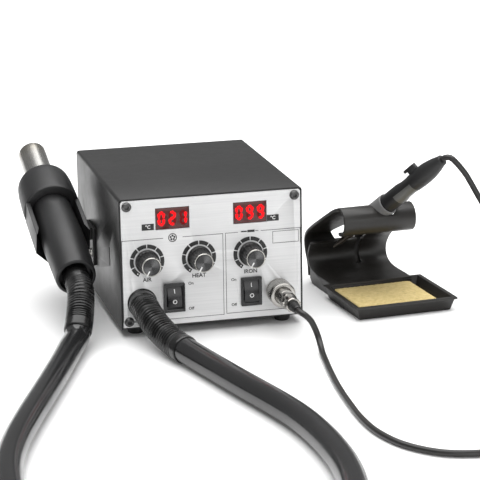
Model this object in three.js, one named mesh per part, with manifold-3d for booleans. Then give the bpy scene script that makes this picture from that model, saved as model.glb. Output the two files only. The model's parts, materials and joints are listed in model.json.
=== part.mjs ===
// Two-in-one rework station: a sheet-metal case with a hot-air handset on its left side and a
// soldering iron in a stand on its right. Millimetres, +Z up, +X along the panel, front at -Y.
import * as THREE from 'three';
import { mergeVertices } from 'three/addons/utils/BufferGeometryUtils.js';
import Module from 'manifold-3d';

const wasm = await Module();
wasm.setup();

// ---- driving dimensions ----
const caseWidth = 140;
const caseHeight = 100;
const caseDepth = 177;
const footHeight = 6;
const footRadius = 6.5;
const footInset = 13;
const sheet = 1.2;            // folded steel cover and base
const panelSheet = 1.5;       // front and rear plates
const gap = 0.3;              // running and seating clearance
const coverCorner = 2.5;
const plateCorner = coverCorner - sheet;

const screwInset = 6.2;       // panel screws, from the plate's edges
const screwHeadRadius = 3.7;
const screwShankRadius = 1.9;

const displayX = 29.6;        // display centres, either side of the middle
const displayDrop = 16.8;      // below the top of the case
const displayWidth = 25.2;
const displayHeight = 16;
const displayDepth = 8;

const knobXs = { air: -49.5, heat: -10, iron: 29.5 };
const knobDrop = 48.5;         // below the top of the case
const knobBaseRadius = 9.2;
const knobTopRadius = 7.4;
const knobLength = 15.2;
const knobLift = 0.8;         // gap between a knob and the panel
const spindleRadius = 3;

const switchXs = { air: -29.5, iron: 29.7 };
const switchZ = 28.2;
const switchWidth = 16;
const switchHeight = 22.2;
const bezelProud = 2;
const rockerWidth = 11;
const rockerTilt = 10;        // degrees either side of level

const connectorX = 50.4;
const connectorZ = 27.4;
const ringRadius = 9.8;

const hoseRadius = 9.35;
const hoseLift = hoseRadius + 0.2;
const outletX = -54;
const outletZ = 26;
const bootRadius = 10.2;

const cordRadius = 2.3;
const cordLift = cordRadius + 0.1;
const coilRadius = 27;        // middle of the coil's turns
const coilWall = 5;           // half the width of the wound bundle
const coilHeight = 13;
const coilCentre = [218, -110];

const handsetOut = 28.3;       // from the case's side to the handset's axis, at the handle's lower end
const handsetY = 28;
const handsetZ = 41.6;
const handsetRise = 18;       // degrees the nozzle points up
const handsetYaw = 1.2;       // degrees it points away from the case
const handleRadius = 16.4;
const handleLength = 101.3;
const capRadius = 22.4;
const capLength = 38.4;
const heaterRadius = 11.2;
const heaterReach = 50.7;     // heater tube beyond the cap
const cradleLength = 46;
const cradleWall = 3.4;

const standOut = 45.3;         // from the case's side to the stand's front left corner
const standY = -6.9;
const standTurn = 5;          // degrees
const trayWidth = 81.5;
const trayDepth = 69.5;
const trayHeight = 10.5;
const trayFlare = 3;
const trayWall = 2;
const guardWidth = 68;
const guardSheet = 2.2;
const rollRadius = 11.3;
const rollWidth = 59.8;
const spongeHeight = 6.4;
const spongeSideRoom = 5;      // bare tray floor to the right of the sponge

const ironGripRadius = 7.35;
const ironPoint = new THREE.Vector3(34.5, 46, 72.9);    // a point on the iron's axis, in the stand
const ironWay = new THREE.Vector3(0.3734, -0.6828, 0.628).normalize();
const ironGripEnd = 76;
const ironBarrelEnd = -42;
const ironTipEnd = -62;
const collarWall = 1.25;

// ---- shapes ----
const group = new THREE.Group();

function finish(color, roughness, metalness = 0) {
  return new THREE.MeshStandardMaterial({ color, roughness, metalness });
}

function add(name, geometry, material, parent = group) {
  const mesh = new THREE.Mesh(geometry, material);
  mesh.name = name;
  parent.add(mesh);
  return mesh;
}

function solid(geometry) {
  const plain = geometry.index ? geometry.toNonIndexed() : geometry.clone();
  plain.deleteAttribute('normal');
  plain.deleteAttribute('uv');
  const merged = mergeVertices(plain, 1e-4);
  const vertProperties = new Float32Array(merged.attributes.position.array);
  const triVerts = new Uint32Array(merged.index.array);
  return new wasm.Manifold(new wasm.Mesh({ numProp: 3, vertProperties, triVerts }));
}

function geometryOf(body) {
  const mesh = body.getMesh();
  const geometry = new THREE.BufferGeometry();
  geometry.setAttribute('position', new THREE.BufferAttribute(mesh.vertProperties, 3));
  geometry.setIndex(new THREE.BufferAttribute(mesh.triVerts, 1));
  return geometry;
}

function joined(...geometries) {
  return geometryOf(geometries.map(solid).reduce((whole, piece) => whole.add(piece)));
}

function cut(geometry, ...tools) {
  return geometryOf(tools.map(solid).reduce((whole, tool) => whole.subtract(tool), solid(geometry)));
}

// A box from its lowest to its highest corner.
function block(low, high) {
  const size = high.map((value, i) => value - low[i]);
  const middle = high.map((value, i) => (value + low[i]) / 2);
  return new THREE.BoxGeometry(...size).translate(...middle);
}

// A solid turned about the Y axis from [radius, y] pairs, listed with y rising up the outside.
function turned(profile, segments = 32) {
  return new THREE.LatheGeometry(profile.map(([r, y]) => new THREE.Vector2(r, y)), segments);
}

// A round bar along Y.
function bar(radius, from, to, segments = 24) {
  return turned([[0, from], [radius, from], [radius, to], [0, to]], segments);
}

// An outline in (x, z), pushed along Y.
function alongY(shape, from, to) {
  const geometry = new THREE.ExtrudeGeometry(shape, { depth: to - from, bevelEnabled: false });
  return geometry.rotateX(Math.PI / 2).translate(0, to, 0);
}

// An outline in (y, z), pushed along X.
function alongX(shape, from, to) {
  const geometry = new THREE.ExtrudeGeometry(shape, { depth: to - from, bevelEnabled: false });
  return geometry.applyMatrix4(new THREE.Matrix4().set(0, 0, 1, from, 1, 0, 0, 0, 0, 1, 0, 0, 0, 0, 0, 1));
}

function rectangle(x0, z0, x1, z1) {
  return new THREE.Shape([[x0, z0], [x1, z0], [x1, z1], [x0, z1]].map(([x, z]) => new THREE.Vector2(x, z)));
}

function polygon(points) {
  return new THREE.Shape(points.map(([x, z]) => new THREE.Vector2(x, z)));
}

function disc(x, z, radius, sides = 20) {
  const points = [];
  for (let i = 0; i < sides; i += 1) {
    const angle = i * 2 * Math.PI / sides;
    points.push([x + radius * Math.cos(angle), z + radius * Math.sin(angle)]);
  }
  return polygon(points);
}

// A case plate along Y with openings cut right through it, its top corners clear of the cover's.
function plateWith(openings, from, to) {
  const outline = polygon([[-innerHalf, plateLow], [innerHalf, plateLow], [innerHalf, plateHigh - plateCorner],
    [innerHalf - plateCorner, plateHigh], [-innerHalf + plateCorner, plateHigh],
    [-innerHalf, plateHigh - plateCorner]]);
  return cut(alongY(outline, from, to), ...openings.map((opening) => alongY(opening, from - 1, to + 1)));
}

// The section of a bent sheet: its middle line, given half the sheet's thickness each way.
function sheetSection(middle, thickness, divisions) {
  const line = new THREE.SplineCurve(middle.map(([y, z]) => new THREE.Vector2(y, z)));
  const near = [];
  const far = [];
  for (let i = 0; i <= divisions; i += 1) {
    const point = line.getPointAt(i / divisions);
    const way = line.getTangentAt(i / divisions);
    const side = new THREE.Vector2(-way.y, way.x).multiplyScalar(thickness / 2);
    near.push(point.clone().add(side));
    far.unshift(point.clone().sub(side));
  }
  return new THREE.Shape([...near, ...far]);
}

// A round rod swept along a smooth curve through its points.
function rod(points, radius, sides, steps) {
  const route = new THREE.CatmullRomCurve3(points.map((point) => new THREE.Vector3(...point)), false, 'centripetal');
  const section = [];
  for (let i = 0; i < sides; i += 1) {
    const angle = (i + 0.5) * 2 * Math.PI / sides;
    section.push(new THREE.Vector2(radius * Math.cos(angle), radius * Math.sin(angle)));
  }
  return new THREE.ExtrudeGeometry(new THREE.Shape(section), { steps, extrudePath: route });
}

// A group whose +Y runs along a direction from a point.
function axisGroup(place, way, parent = group) {
  const holder = new THREE.Group();
  holder.position.copy(place);
  holder.quaternion.setFromUnitVectors(new THREE.Vector3(0, 1, 0), way);
  parent.add(holder);
  return holder;
}

// ---- finishes ----
const paint = { color: 0x2b2b2c, roughness: 0.5, metalness: 0.2 };
const paintedSteel = () => finish(paint.color, paint.roughness, paint.metalness);
const brushedPlate = () => finish(0xc4c6c8, 0.35, 0.9);
const blackPlastic = () => finish(0x1c1c1d, 0.5);
const rubber = () => finish(0x161616, 0.6);
const bareSteel = () => finish(0xb9bab8, 0.3, 1);
const board = () => finish(0x1d5a32, 0.55);

// ---- case ----
const half = caseWidth / 2;
const caseTop = footHeight + caseHeight;
const displayZ = caseTop - displayDrop;
const knobZ = caseTop - knobDrop;
const innerHalf = half - sheet - gap;
const plateLow = footHeight + sheet + gap;
const plateHigh = caseTop - sheet - gap;

const bracketY = [99, 129];             // the handset bracket's plate on the case's side
const bracketZ = [30, 60];
const hookSlot = { width: 2.6, low: 45, high: 59.5, y: 41 };

function caseCover() {
  const outer = new THREE.Shape();
  outer.moveTo(-half, footHeight);
  outer.lineTo(-half, caseTop - coverCorner);
  outer.absarc(-half + coverCorner, caseTop - coverCorner, coverCorner, Math.PI, Math.PI / 2, true);
  outer.lineTo(half - coverCorner, caseTop);
  outer.absarc(half - coverCorner, caseTop - coverCorner, coverCorner, Math.PI / 2, 0, true);
  outer.lineTo(half, footHeight);
  outer.lineTo(half - sheet, footHeight);
  outer.lineTo(half - sheet, caseTop - coverCorner);
  outer.absarc(half - coverCorner, caseTop - coverCorner, coverCorner - sheet, 0, Math.PI / 2, false);
  outer.lineTo(-half + coverCorner, caseTop - sheet);
  outer.absarc(-half + coverCorner, caseTop - coverCorner, coverCorner - sheet, Math.PI / 2, Math.PI, false);
  outer.lineTo(-half + sheet, footHeight);
  const tools = [-1, 1].map((side) => {
    const x = side * (half - sheet / 2);
    return block([x - sheet, hookSlot.y - hookSlot.width / 2, hookSlot.low],
      [x + sheet, hookSlot.y + hookSlot.width / 2, hookSlot.high]);
  });
  for (const y of bracketScrewYs) {
    tools.push(bar(bracketScrewRadius + gap, -1, 3, 12).rotateZ(Math.PI / 2)
      .translate(-half + 2, y, bracketScrewZ));
  }
  return cut(alongY(outer, 0, caseDepth), ...tools);
}

const bracketScrewRadius = 2;
const bracketScrewZ = (bracketZ[0] + bracketZ[1]) / 2 - 6;
const bracketScrewYs = [bracketY[0] + 7, bracketY[1] - 7];

function basePan() {
  const wall = 12;
  const outline = polygon([
    [-innerHalf, footHeight], [innerHalf, footHeight],
    [innerHalf, footHeight + wall], [innerHalf - sheet, footHeight + wall],
    [innerHalf - sheet, footHeight + sheet], [-innerHalf + sheet, footHeight + sheet],
    [-innerHalf + sheet, footHeight + wall], [-innerHalf, footHeight + wall],
  ]);
  const pan = alongY(outline, panelSheet + gap, caseDepth - panelSheet - gap);
  const vents = [];
  for (let row = 0; row < 7; row += 1) {
    const y = caseDepth * 0.55 + row * 8;
    vents.push(block([-18, y, footHeight - 1], [18, y + 2.5, footHeight + sheet + 1]));
  }
  return cut(pan, ...vents);
}

const screwX = innerHalf - screwInset + 1.7;
const screwPlaces = {
  top_left: [-screwX, plateHigh - screwInset + 1.7], top_right: [screwX, plateHigh - screwInset + 1.7],
  bottom_left: [-screwX, plateLow + screwInset - 1.7], bottom_right: [screwX, plateLow + screwInset - 1.7],
};
const bushRadius = 4.4;

function frontPanel() {
  const openings = [disc(connectorX, connectorZ, socketRadius + gap), disc(outletX, outletZ, spigotRadius + gap)];
  for (const x of [-displayX, displayX]) {
    const w = displayWidth / 2 + gap;
    const h = displayHeight / 2 + gap;
    openings.push(rectangle(x - w, displayZ - h, x + w, displayZ + h));
  }
  for (const x of Object.values(knobXs)) openings.push(disc(x, knobZ, bushRadius + gap));
  for (const x of Object.values(switchXs)) {
    const w = switchWidth / 2 - 1.3;
    const h = switchHeight / 2 - 1.3;
    openings.push(rectangle(x - w, switchZ - h, x + w, switchZ + h));
  }
  for (const [x, z] of Object.values(screwPlaces)) openings.push(disc(x, z, screwShankRadius + gap, 12));
  return plateWith(openings, 0, panelSheet);
}

const inlet = { x: 38, z: 34, width: 27, height: 20 };
const fuse = { x: 38, z: 66, radius: 6 };

function rearPanel() {
  const w = inlet.width / 2 + gap;
  const h = inlet.height / 2 + gap;
  const openings = [rectangle(inlet.x - w, inlet.z - h, inlet.x + w, inlet.z + h),
    disc(fuse.x, fuse.z, fuse.radius + gap)];
  for (let row = 0; row < 6; row += 1) {
    const z = 40 + row * 8;
    openings.push(rectangle(-52, z, -12, z + 3));
  }
  return plateWith(openings, caseDepth - panelSheet, caseDepth);
}

function buttonScrew(length) {
  const head = turned([[0, 0], [screwHeadRadius, 0], [screwHeadRadius, 0.7], [2.9, 1.8], [1.9, 2.2], [0, 2.2]], 18);
  const whole = joined(head, bar(screwShankRadius - gap, -length, 0.2, 12));
  return cut(whole, bar(1.4, 0.9, 3, 6)).rotateX(Math.PI);
}

// ---- panel parts ----
const spigotRadius = 7;
const socketRadius = 7.6;

function displayModule(x) {
  const w = displayWidth / 2;
  const h = displayHeight / 2;
  return block([x - w, 0.3, displayZ - h], [x + w, displayDepth, displayZ + h]);
}

function displayBoard() {
  const plate = block([-innerHalf + 6, displayDepth + 2.4, 42], [innerHalf - 6, displayDepth + 4, plateHigh - 3.5]);
  const parts = [-displayX, displayX].map((x) => (
    block([x - 10, displayDepth, displayZ - 6], [x + 10, displayDepth + 3, displayZ + 6])));
  const chip = block([-8, displayDepth + 3, displayZ - 15], [8, displayDepth + 6, displayZ - 5]);
  return joined(plate, ...parts, chip);
}

function potentiometer(x) {
  const can = bar(7.6, panelSheet + 1, displayDepth + 2.4, 16);
  const bush = bar(bushRadius, 0, panelSheet + 2, 16);
  const bore = bar(spindleRadius + gap, -1, displayDepth, 16);
  return cut(joined(can, bush), bore).translate(x, 0, knobZ);
}

function knob(x) {
  const front = -knobLift - knobLength;
  const body = turned([[0, front], [knobTopRadius, front], [knobTopRadius + 0.5, front + 2],
    [knobBaseRadius - 0.9, -knobLift - 4], [knobBaseRadius, -knobLift - 2.5],
    [knobBaseRadius, -knobLift], [0, -knobLift]], 24);
  return joined(body, bar(spindleRadius, -knobLift - 1, displayDepth - 0.6, 12)).translate(x, 0, knobZ);
}

function knobCap(x) {
  const back = -knobLift - knobLength;
  const plate = turned([[0, back - 1.4], [knobTopRadius - 1, back - 1.4], [knobTopRadius - 0.2, back - 0.7],
    [knobTopRadius - 0.2, back], [0, back]], 24);
  const pointer = block([-0.4, back - 2, -knobTopRadius - 1], [0.4, back - 1, -knobTopRadius + 3.6]);
  return cut(plate, pointer.rotateY(THREE.MathUtils.degToRad(30))).translate(x, 0, knobZ);
}

const rockerPivotY = 3;
const cavityHalf = 9.1;

function switchHousing(x) {
  const w = switchWidth / 2;
  const h = switchHeight / 2;
  const bezel = block([-w, -bezelProud, -h], [w, 0, h]);
  const body = block([-w + 1.6, -0.5, -h + 1.6], [w - 1.6, 14, h - 1.6]);
  const tabs = [-5, 0, 5].map((z) => block([-2.4, 13, z - 0.4], [2.4, 21, z + 0.4]));
  const room = block([-rockerWidth / 2 - gap, -5, -cavityHalf], [rockerWidth / 2 + gap, 7.5, cavityHalf]);
  const pivot = bar(1 + gap, -6.35, 6.35, 12).rotateZ(Math.PI / 2).translate(0, rockerPivotY, 0);
  return cut(joined(bezel, body, ...tabs), room, pivot).translate(x, 0, switchZ);
}

function rocker(x) {
  const outline = polygon([[-5.6, 0], [-4.2, 8], [-2, 7.9], [1.8, 5], [1.8, -5], [-2, -7.9], [-4.2, -8]]);
  const key = alongX(outline, -rockerWidth / 2, rockerWidth / 2);
  const axle = bar(1, -6.05, 6.05, 12).rotateZ(Math.PI / 2);
  const whole = joined(key, axle).rotateX(-THREE.MathUtils.degToRad(rockerTilt));
  return whole.translate(x, rockerPivotY, switchZ);
}

function ironSocket() {
  const body = joined(bar(9.2, -1.4, 0, 6), bar(socketRadius, -6, 13, 20), bar(9, panelSheet, panelSheet + 2, 6));
  return body.translate(connectorX, 0, connectorZ);
}

function couplingRing() {
  const bore = socketRadius + gap;
  const lip = plugNeck + gap;
  const ring = turned([[bore, -2], [bore, -15], [lip, -15], [lip, -17], [ringRadius - 1, -17], [ringRadius, -16],
    [ringRadius, -3], [ringRadius - 0.7, -2], [bore, -2]], 28);
  return ring.translate(connectorX, 0, connectorZ);
}

const plugNeck = 6.6;
const clampEnd = -44;
const plugBootEnd = -57;

function plugBody() {
  const shell = turned([[0, clampEnd], [5, clampEnd], [5.6, clampEnd + 1], [5.6, -33], [6.3, -32], [6.3, -20],
    [plugNeck, -19], [plugNeck, -14.6], [socketRadius - 0.4, -14.4], [socketRadius - 0.4, -6.3], [0, -6.3]], 20);
  const screws = [-1, 1].map((side) => bar(1.5, side > 0 ? 4.5 : -7.2, side > 0 ? 7.2 : -4.5, 10)
    .rotateZ(Math.PI / 2).translate(0, -38.5, 0));
  return cut(joined(shell, ...screws), bar(4 + gap, clampEnd - 1, clampEnd + 5, 16))
    .translate(connectorX, 0, connectorZ);
}

function plugBoot() {
  const boot = turned([[0, plugBootEnd], [2.9, plugBootEnd], [3.3, plugBootEnd + 3], [4, clampEnd],
    [4, clampEnd + 4.7], [0, clampEnd + 4.7]], 16);
  return boot.translate(connectorX, 0, connectorZ);
}

// ---- inside ----
function mainBoard() {
  const low = footHeight + sheet + 6;
  const plate = block([-8, 24, low], [62, 94, low + 1.6]);
  const posts = [[-4, 28], [58, 28], [-4, 90], [58, 90]].map(([x, y]) => (
    bar(3, 0, 7, 12).rotateX(Math.PI / 2).translate(x, y, low + 0.5)));
  const parts = [
    block([0, 34, low + 1], [16, 54, low + 12]), block([22, 38, low + 1], [28, 78, low + 24]),
    block([36, 40, low + 1], [52, 56, low + 16]), block([36, 66, low + 1], [56, 80, low + 10]),
  ];
  return joined(plate, ...posts, ...parts);
}

function transformer() {
  const floor = footHeight + sheet;
  const y = caseDepth - 53;
  const core = block([8, y - 20, floor + 4], [62, y + 20, floor + 49]);
  const winding = block([17, y - 26, floor + 12], [53, y + 26, floor + 41]);
  const foot = block([2, y - 16, floor], [innerHalf - sheet - 2, y + 16, floor + 4.5]);
  return joined(core, winding, foot);
}

const pumpFront = 72;
const pumpRear = caseDepth - 13;
const pumpSpigot = [-38, pumpFront - 6, 40];

function airPump() {
  const floor = footHeight + sheet;
  const body = block([-60, pumpFront, floor + 8], [-14, pumpRear, floor + 58]);
  const head = block([-52, pumpFront + 6, floor + 57], [-22, pumpRear - 14, floor + 68]);
  const feet = [[-56, pumpFront + 4], [-18, pumpFront + 4], [-56, pumpRear - 4], [-18, pumpRear - 4]].map(([x, y]) => (
    bar(4, 0, 9, 12).rotateX(Math.PI / 2).translate(x, y, floor + 9)));
  const spigot = bar(3.6, pumpSpigot[1], pumpFront + 2, 16).translate(pumpSpigot[0], 0, pumpSpigot[2]);
  return joined(body, head, ...feet, spigot);
}

function innerAirTube() {
  const route = [[outletX, 12, outletZ], [outletX, 24, outletZ], [outletX + 4, 38, outletZ + 4],
    [pumpSpigot[0] - 3, 52, pumpSpigot[2] - 3], [pumpSpigot[0], 60, pumpSpigot[2]],
    [pumpSpigot[0], pumpSpigot[1] - gap, pumpSpigot[2]]];
  return rod(route, 4.2, 8, 14);
}

function powerInlet() {
  const { x, z, width, height } = inlet;
  const rim = block([x - width / 2 - 3, caseDepth, z - height / 2 - 3],
    [x + width / 2 + 3, caseDepth + 2, z + height / 2 + 3]);
  const shell = block([x - width / 2, caseDepth - 22, z - height / 2], [x + width / 2, caseDepth + 1, z + height / 2]);
  const mouth = block([x - width / 2 + 2, caseDepth - 15, z - height / 2 + 2],
    [x + width / 2 - 2, caseDepth + 3, z + height / 2 - 2]);
  const pins = [[-7, 1.5], [0, -3], [7, 1.5]].map(([dx, dz]) => (
    block([x + dx - 1, caseDepth - 17, z + dz - 2.4], [x + dx + 1, caseDepth - 3, z + dz + 2.4])));
  return joined(cut(joined(rim, shell), mouth), ...pins);
}

function fuseHolder() {
  const body = turned([[0, caseDepth - 26], [fuse.radius, caseDepth - 26], [fuse.radius, caseDepth],
    [fuse.radius + 2, caseDepth], [fuse.radius + 2, caseDepth + 2], [fuse.radius + 0.5, caseDepth + 6],
    [0, caseDepth + 6]], 24);
  const slot = block([-3.5, caseDepth + 5, -0.6], [3.5, caseDepth + 7, 0.6]);
  return cut(body, slot).translate(fuse.x, 0, fuse.z);
}

// ---- hose ----
const handsetButt = new THREE.Vector3(-half - handsetOut, handsetY, handsetZ);  // the handle's lower end
const outletBootRoute = [[outletX, -1.5, outletZ], [outletX + 0.2, -9, outletZ - 1], [-52.8, -20, 22.2],
  [-50.2, -33, 17.8], [-46.2, -47, 13.8], [-41.8, -62, 11.3], [-38, -74.5, 10.6]];
const handsetBootRoute = [[-0.1, -19.1, -6.6], [-2.2, -28.4, -14.6], [-4.7, -36.6, -22],
  [-7.9, -46, -28.2]].map(([x, y, z]) => [handsetButt.x + x, handsetButt.y + y, handsetButt.z + z]);

// The point a distance beyond the end of a route.
function beyond(route, distance) {
  const [last, end] = route.slice(-2).map((point) => new THREE.Vector3(...point));
  return end.clone().addScaledVector(end.clone().sub(last).normalize(), distance).toArray();
}

const hoseRoute = [
  beyond(outletBootRoute, gap), beyond(outletBootRoute, 8), [-30.6, -100, hoseLift], [-24.8, -123, hoseLift],
  [-18.8, -147, hoseLift], [-12.5, -171, hoseLift], [-6.3, -194, hoseLift], [-1, -216, hoseLift],
  [3, -238, hoseLift], [5.6, -263, hoseLift], [6.6, -292, hoseLift], [5, -326, hoseLift], [-1, -362, hoseLift],
  [-13, -398, hoseLift], [-34, -430, hoseLift], [-64, -451, hoseLift], [-102, -458, hoseLift],
  [-140, -446, hoseLift], [-171, -419, hoseLift], [-190, -382, hoseLift], [-198, -340, hoseLift],
  [-197, -298, hoseLift], [-191, -258, hoseLift], [-181, -221, hoseLift], [-168.8, -186, hoseLift],
  [-154.8, -149, hoseLift], [-140, -110, hoseLift], [-126, -72, hoseLift], [-116.6, -46, hoseLift + 0.4],
  beyond(handsetBootRoute, 5), beyond(handsetBootRoute, gap),
];

function outletBoot() {
  const flange = turned([[0, -2.4], [bootRadius + 0.6, -2.4], [bootRadius + 0.6, 0], [0, 0]], 24)
    .translate(outletX, 0, outletZ);
  const neck = bar(spigotRadius, -1, 11.7, 20).translate(outletX, 0, outletZ);
  return joined(rod(outletBootRoute, bootRadius, 12, 12), flange, neck);
}

function airHose() {
  return rod(hoseRoute, hoseRadius, 12, 52);
}

// ---- hot-air handset ----
const handsetWay = new THREE.Vector3(0, 1, 0)
  .applyAxisAngle(new THREE.Vector3(1, 0, 0), THREE.MathUtils.degToRad(handsetRise))
  .applyAxisAngle(new THREE.Vector3(0, 0, 1), THREE.MathUtils.degToRad(handsetYaw));
const capStart = handleLength - 4;
const capEnd = capStart + capLength;

function handsetHandle() {
  const shell = turned([[0, 0], [handleRadius - 1.8, 0], [handleRadius - 1.1, 1.4], [handleRadius - 0.4, 20],
    [handleRadius + 0.2, 48], [handleRadius - 0.3, 68], [handleRadius - 1.2, 86], [handleRadius - 1.4, capStart + 6],
    [0, capStart + 6]], 32);
  return cut(shell, bar(13, -1, 7, 28));
}

function handsetCap() {
  const bore = handleRadius - 1.2 + gap;
  const roof = capLength - 3;
  const shell = turned([[0, 0], [capRadius - 0.6, 0], [capRadius, 0.8], [capRadius, 10], [capRadius - 0.6, 28],
    [capRadius - 1.4, capLength - 2.6], [capRadius - 3.2, capLength], [0, capLength]], 40);
  const room = turned([[0, -1], [bore, -1], [bore, 8], [capRadius - 3, 12], [capRadius - 4.5, roof], [0, roof]], 32);
  return cut(shell, room, bar(heaterRadius + gap, roof - 2, capLength + 1, 28)).translate(0, capStart, 0);
}

function heaterTube() {
  const from = capEnd - 14;
  const to = capEnd + heaterReach;
  const r = heaterRadius;
  return turned([[r - 1, from], [r + 3, from], [r + 3, from + 2], [r, from + 2], [r, to - 0.8], [r - 0.3, to],
    [r - 1, to], [r - 1, from]], 36);
}

function heaterCore() {
  return bar(heaterRadius - 3, capEnd - 24, capEnd + heaterReach - 12, 12);
}

// The cradle is an eight-sided trough, open at the top, with a flared lower mouth.
function eightSided(apothem, from, to, endApothem = apothem) {
  const corner = (value) => value / Math.cos(Math.PI / 8);
  return turned([[0, from], [corner(apothem), from], [corner(endApothem), to], [0, to]], 8)
    .rotateY(Math.PI / 8);
}

const cradleEnd = capStart - gap;
const cradleStart = cradleEnd - cradleLength;
const cradleBore = handleRadius + 0.3 + 3 * gap;
const cradleOuter = cradleBore + cradleWall;

function handsetCradle() {
  const outer = eightSided(cradleOuter, cradleStart, cradleEnd);
  const bore = eightSided(cradleBore, cradleStart - 1, cradleEnd + 1);
  const flare = eightSided(cradleOuter - 0.4, cradleStart - 0.1, cradleStart + 16, cradleBore - 0.1);
  const mouth = block([-cradleBore - 0.2, cradleStart - 1, -5], [cradleBore + 0.2, cradleEnd + 1, 40]);
  const wings = block([-30, cradleStart - 1, 9], [30, cradleEnd + 1, 40]);
  return cut(outer, bore, flare, mouth, wings);
}

const handsetHolder = axisGroup(handsetButt, handsetWay);

function bracket() {
  const arm = half + handsetButt.x + cradleOuter;       // how far the cradle's side lies inside the case's line
  const reach = -half + arm;
  const plate = block([-half - 2.5, bracketY[0], bracketZ[0]], [-half, bracketY[1], bracketZ[1]]);
  const web = block([reach + gap, bracketY[0] + 4, bracketZ[1] - 10], [-half - 1, bracketY[1] - 4, bracketZ[1]]);
  const holes = bracketScrewYs.map((y) => bar(bracketScrewRadius + gap, -2, 4, 12).rotateZ(Math.PI / 2)
    .translate(-half, y, bracketScrewZ));
  return cut(joined(plate, web), ...holes);
}

function bracketScrew(y) {
  const screw = joined(turned([[0, 0], [3.6, 0], [3.2, 1.6], [2, 2.2], [0, 2.2]], 20),
    bar(bracketScrewRadius, -7, 0.2, 12));
  const slot = block([-0.5, 1.4, -2.4], [0.5, 3, 2.4]);
  return cut(screw, slot).rotateZ(Math.PI / 2).translate(-half - 2.5, y, bracketScrewZ);
}

// ---- iron stand, in its own turned frame ----
const standPlace = new THREE.Vector3(half + standOut, standY, 0);
const collarRadius = ironGripRadius + collarWall;
const stand = new THREE.Group();
stand.position.copy(standPlace);
stand.rotation.z = THREE.MathUtils.degToRad(standTurn);
group.add(stand);

const trayLeft = -5.5;
const trayFront = -3.5;
const rollCentre = [46.5, 65.3];
const guardFoot = 112;                   // how far back the guard meets the floor
const wallLine = [[63, 9.4], [76, 9.4], [92, 9.2], [104, 10.2], [112, 13.5], [115.6, 19], [114.6, 26], [109, 33.5]];
const columnLine = [[109, 33.5], [100, 40.5], [86, 46], [70, 50.2], [58, 52.4]];
const columnFrom = 45;
const slotFrom = 40;
const slotWidth = 4;

// A box whose foot is smaller than its top by an inset on every side.
function flaredBox(low, high, inset) {
  const box = block(low, high);
  const place = box.attributes.position;
  const middle = [(low[0] + high[0]) / 2, (low[1] + high[1]) / 2];
  for (let i = 0; i < place.count; i += 1) {
    if (place.getZ(i) < high[2] - 1e-3) {
      place.setX(i, place.getX(i) - Math.sign(place.getX(i) - middle[0]) * inset);
      place.setY(i, place.getY(i) - Math.sign(place.getY(i) - middle[1]) * inset);
    }
  }
  return box;
}

function standBase() {
  const right = trayLeft + trayWidth;
  const back = trayFront + trayDepth;
  const outer = flaredBox([trayLeft, trayFront, 0], [right, back, trayHeight], trayFlare);
  const lip = block([trayLeft - 1.2, trayFront - 1.2, trayHeight - 1.6], [right + 1.2, back, trayHeight]);
  const inner = flaredBox([trayLeft + trayWall, trayFront + trayWall, trayWall],
    [right - trayWall, back - trayWall, trayHeight + 0.01], trayFlare);
  const top = flaredBox([trayLeft + trayWall, trayFront + trayWall, trayHeight - 0.01],
    [right - trayWall, back - trayWall, trayHeight + 2], 0);
  const deck = polygon([[back - 4, 0], [guardFoot - 6, 0], [guardFoot - 1, 4], [guardFoot, 13],
    [104, 9.6], [back - 4, 8.8]]);
  const hollow = polygon([[back + 2, -1], [guardFoot - 10, -1], [guardFoot - 6, 6], [back + 2, 6.2]]);
  const under = alongX(hollow, trayWall, guardWidth - trayWall);
  const wall = alongX(sheetSection(wallLine, guardSheet, 24), 0, guardWidth);
  const column = alongX(sheetSection(columnLine, guardSheet, 12), columnFrom, guardWidth);
  const slot = block([slotFrom, 108, 12.5], [slotFrom + slotWidth, 125, 45]);
  const shelf = cut(alongX(deck, 0, guardWidth), under);
  return cut(joined(cut(joined(outer, lip), inner, top), shelf, wall, column), slot);
}

function shellLine() {
  const line = [[guardFoot + 3, 5], [guardFoot + 5, 16], [123, 27], [121.5, 38], [105, 48.8], [84, 59.4], [63, 70]];
  const radius = rollRadius - guardSheet / 2;
  for (let angle = 66; angle <= 286; angle += 20) {
    const turn = THREE.MathUtils.degToRad(angle);
    line.push([rollCentre[0] + radius * Math.cos(turn), rollCentre[1] + radius * Math.sin(turn)]);
  }
  return line;
}

const windowOutline = [[21.5, 38.5], [32, 50.5], [44, 50.5], [44, 31], [26.5, 31]];
const collarFrom = -17;
const collarTo = 9;

function intoStand(geometry) {
  const turn = new THREE.Quaternion().setFromUnitVectors(new THREE.Vector3(0, 1, 0), ironWay);
  return geometry.applyQuaternion(turn).translate(ironPoint.x, ironPoint.y, ironPoint.z);
}

function standShell() {
  const shell = alongX(sheetSection(shellLine(), guardSheet, 42), 0, rollWidth);
  const window = alongY(polygon(windowOutline), 96, 140);
  const saddle = intoStand(bar(collarRadius + gap, -30, 40, 32));
  return cut(shell, window, saddle);
}

function standCollar() {
  const r = collarRadius;
  const bore = ironGripRadius + gap;
  return turned([[bore, collarFrom], [r, collarFrom], [r, collarTo], [bore, collarTo], [bore, collarFrom]], 32);
}

function sponge() {
  const edge = trayWall + trayFlare + 0.6;
  return block([trayLeft + edge, trayFront + edge, trayWall + 0.1],
    [trayLeft + trayWidth - edge - spongeSideRoom, trayFront + trayDepth - edge, trayWall + spongeHeight]);
}

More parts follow.
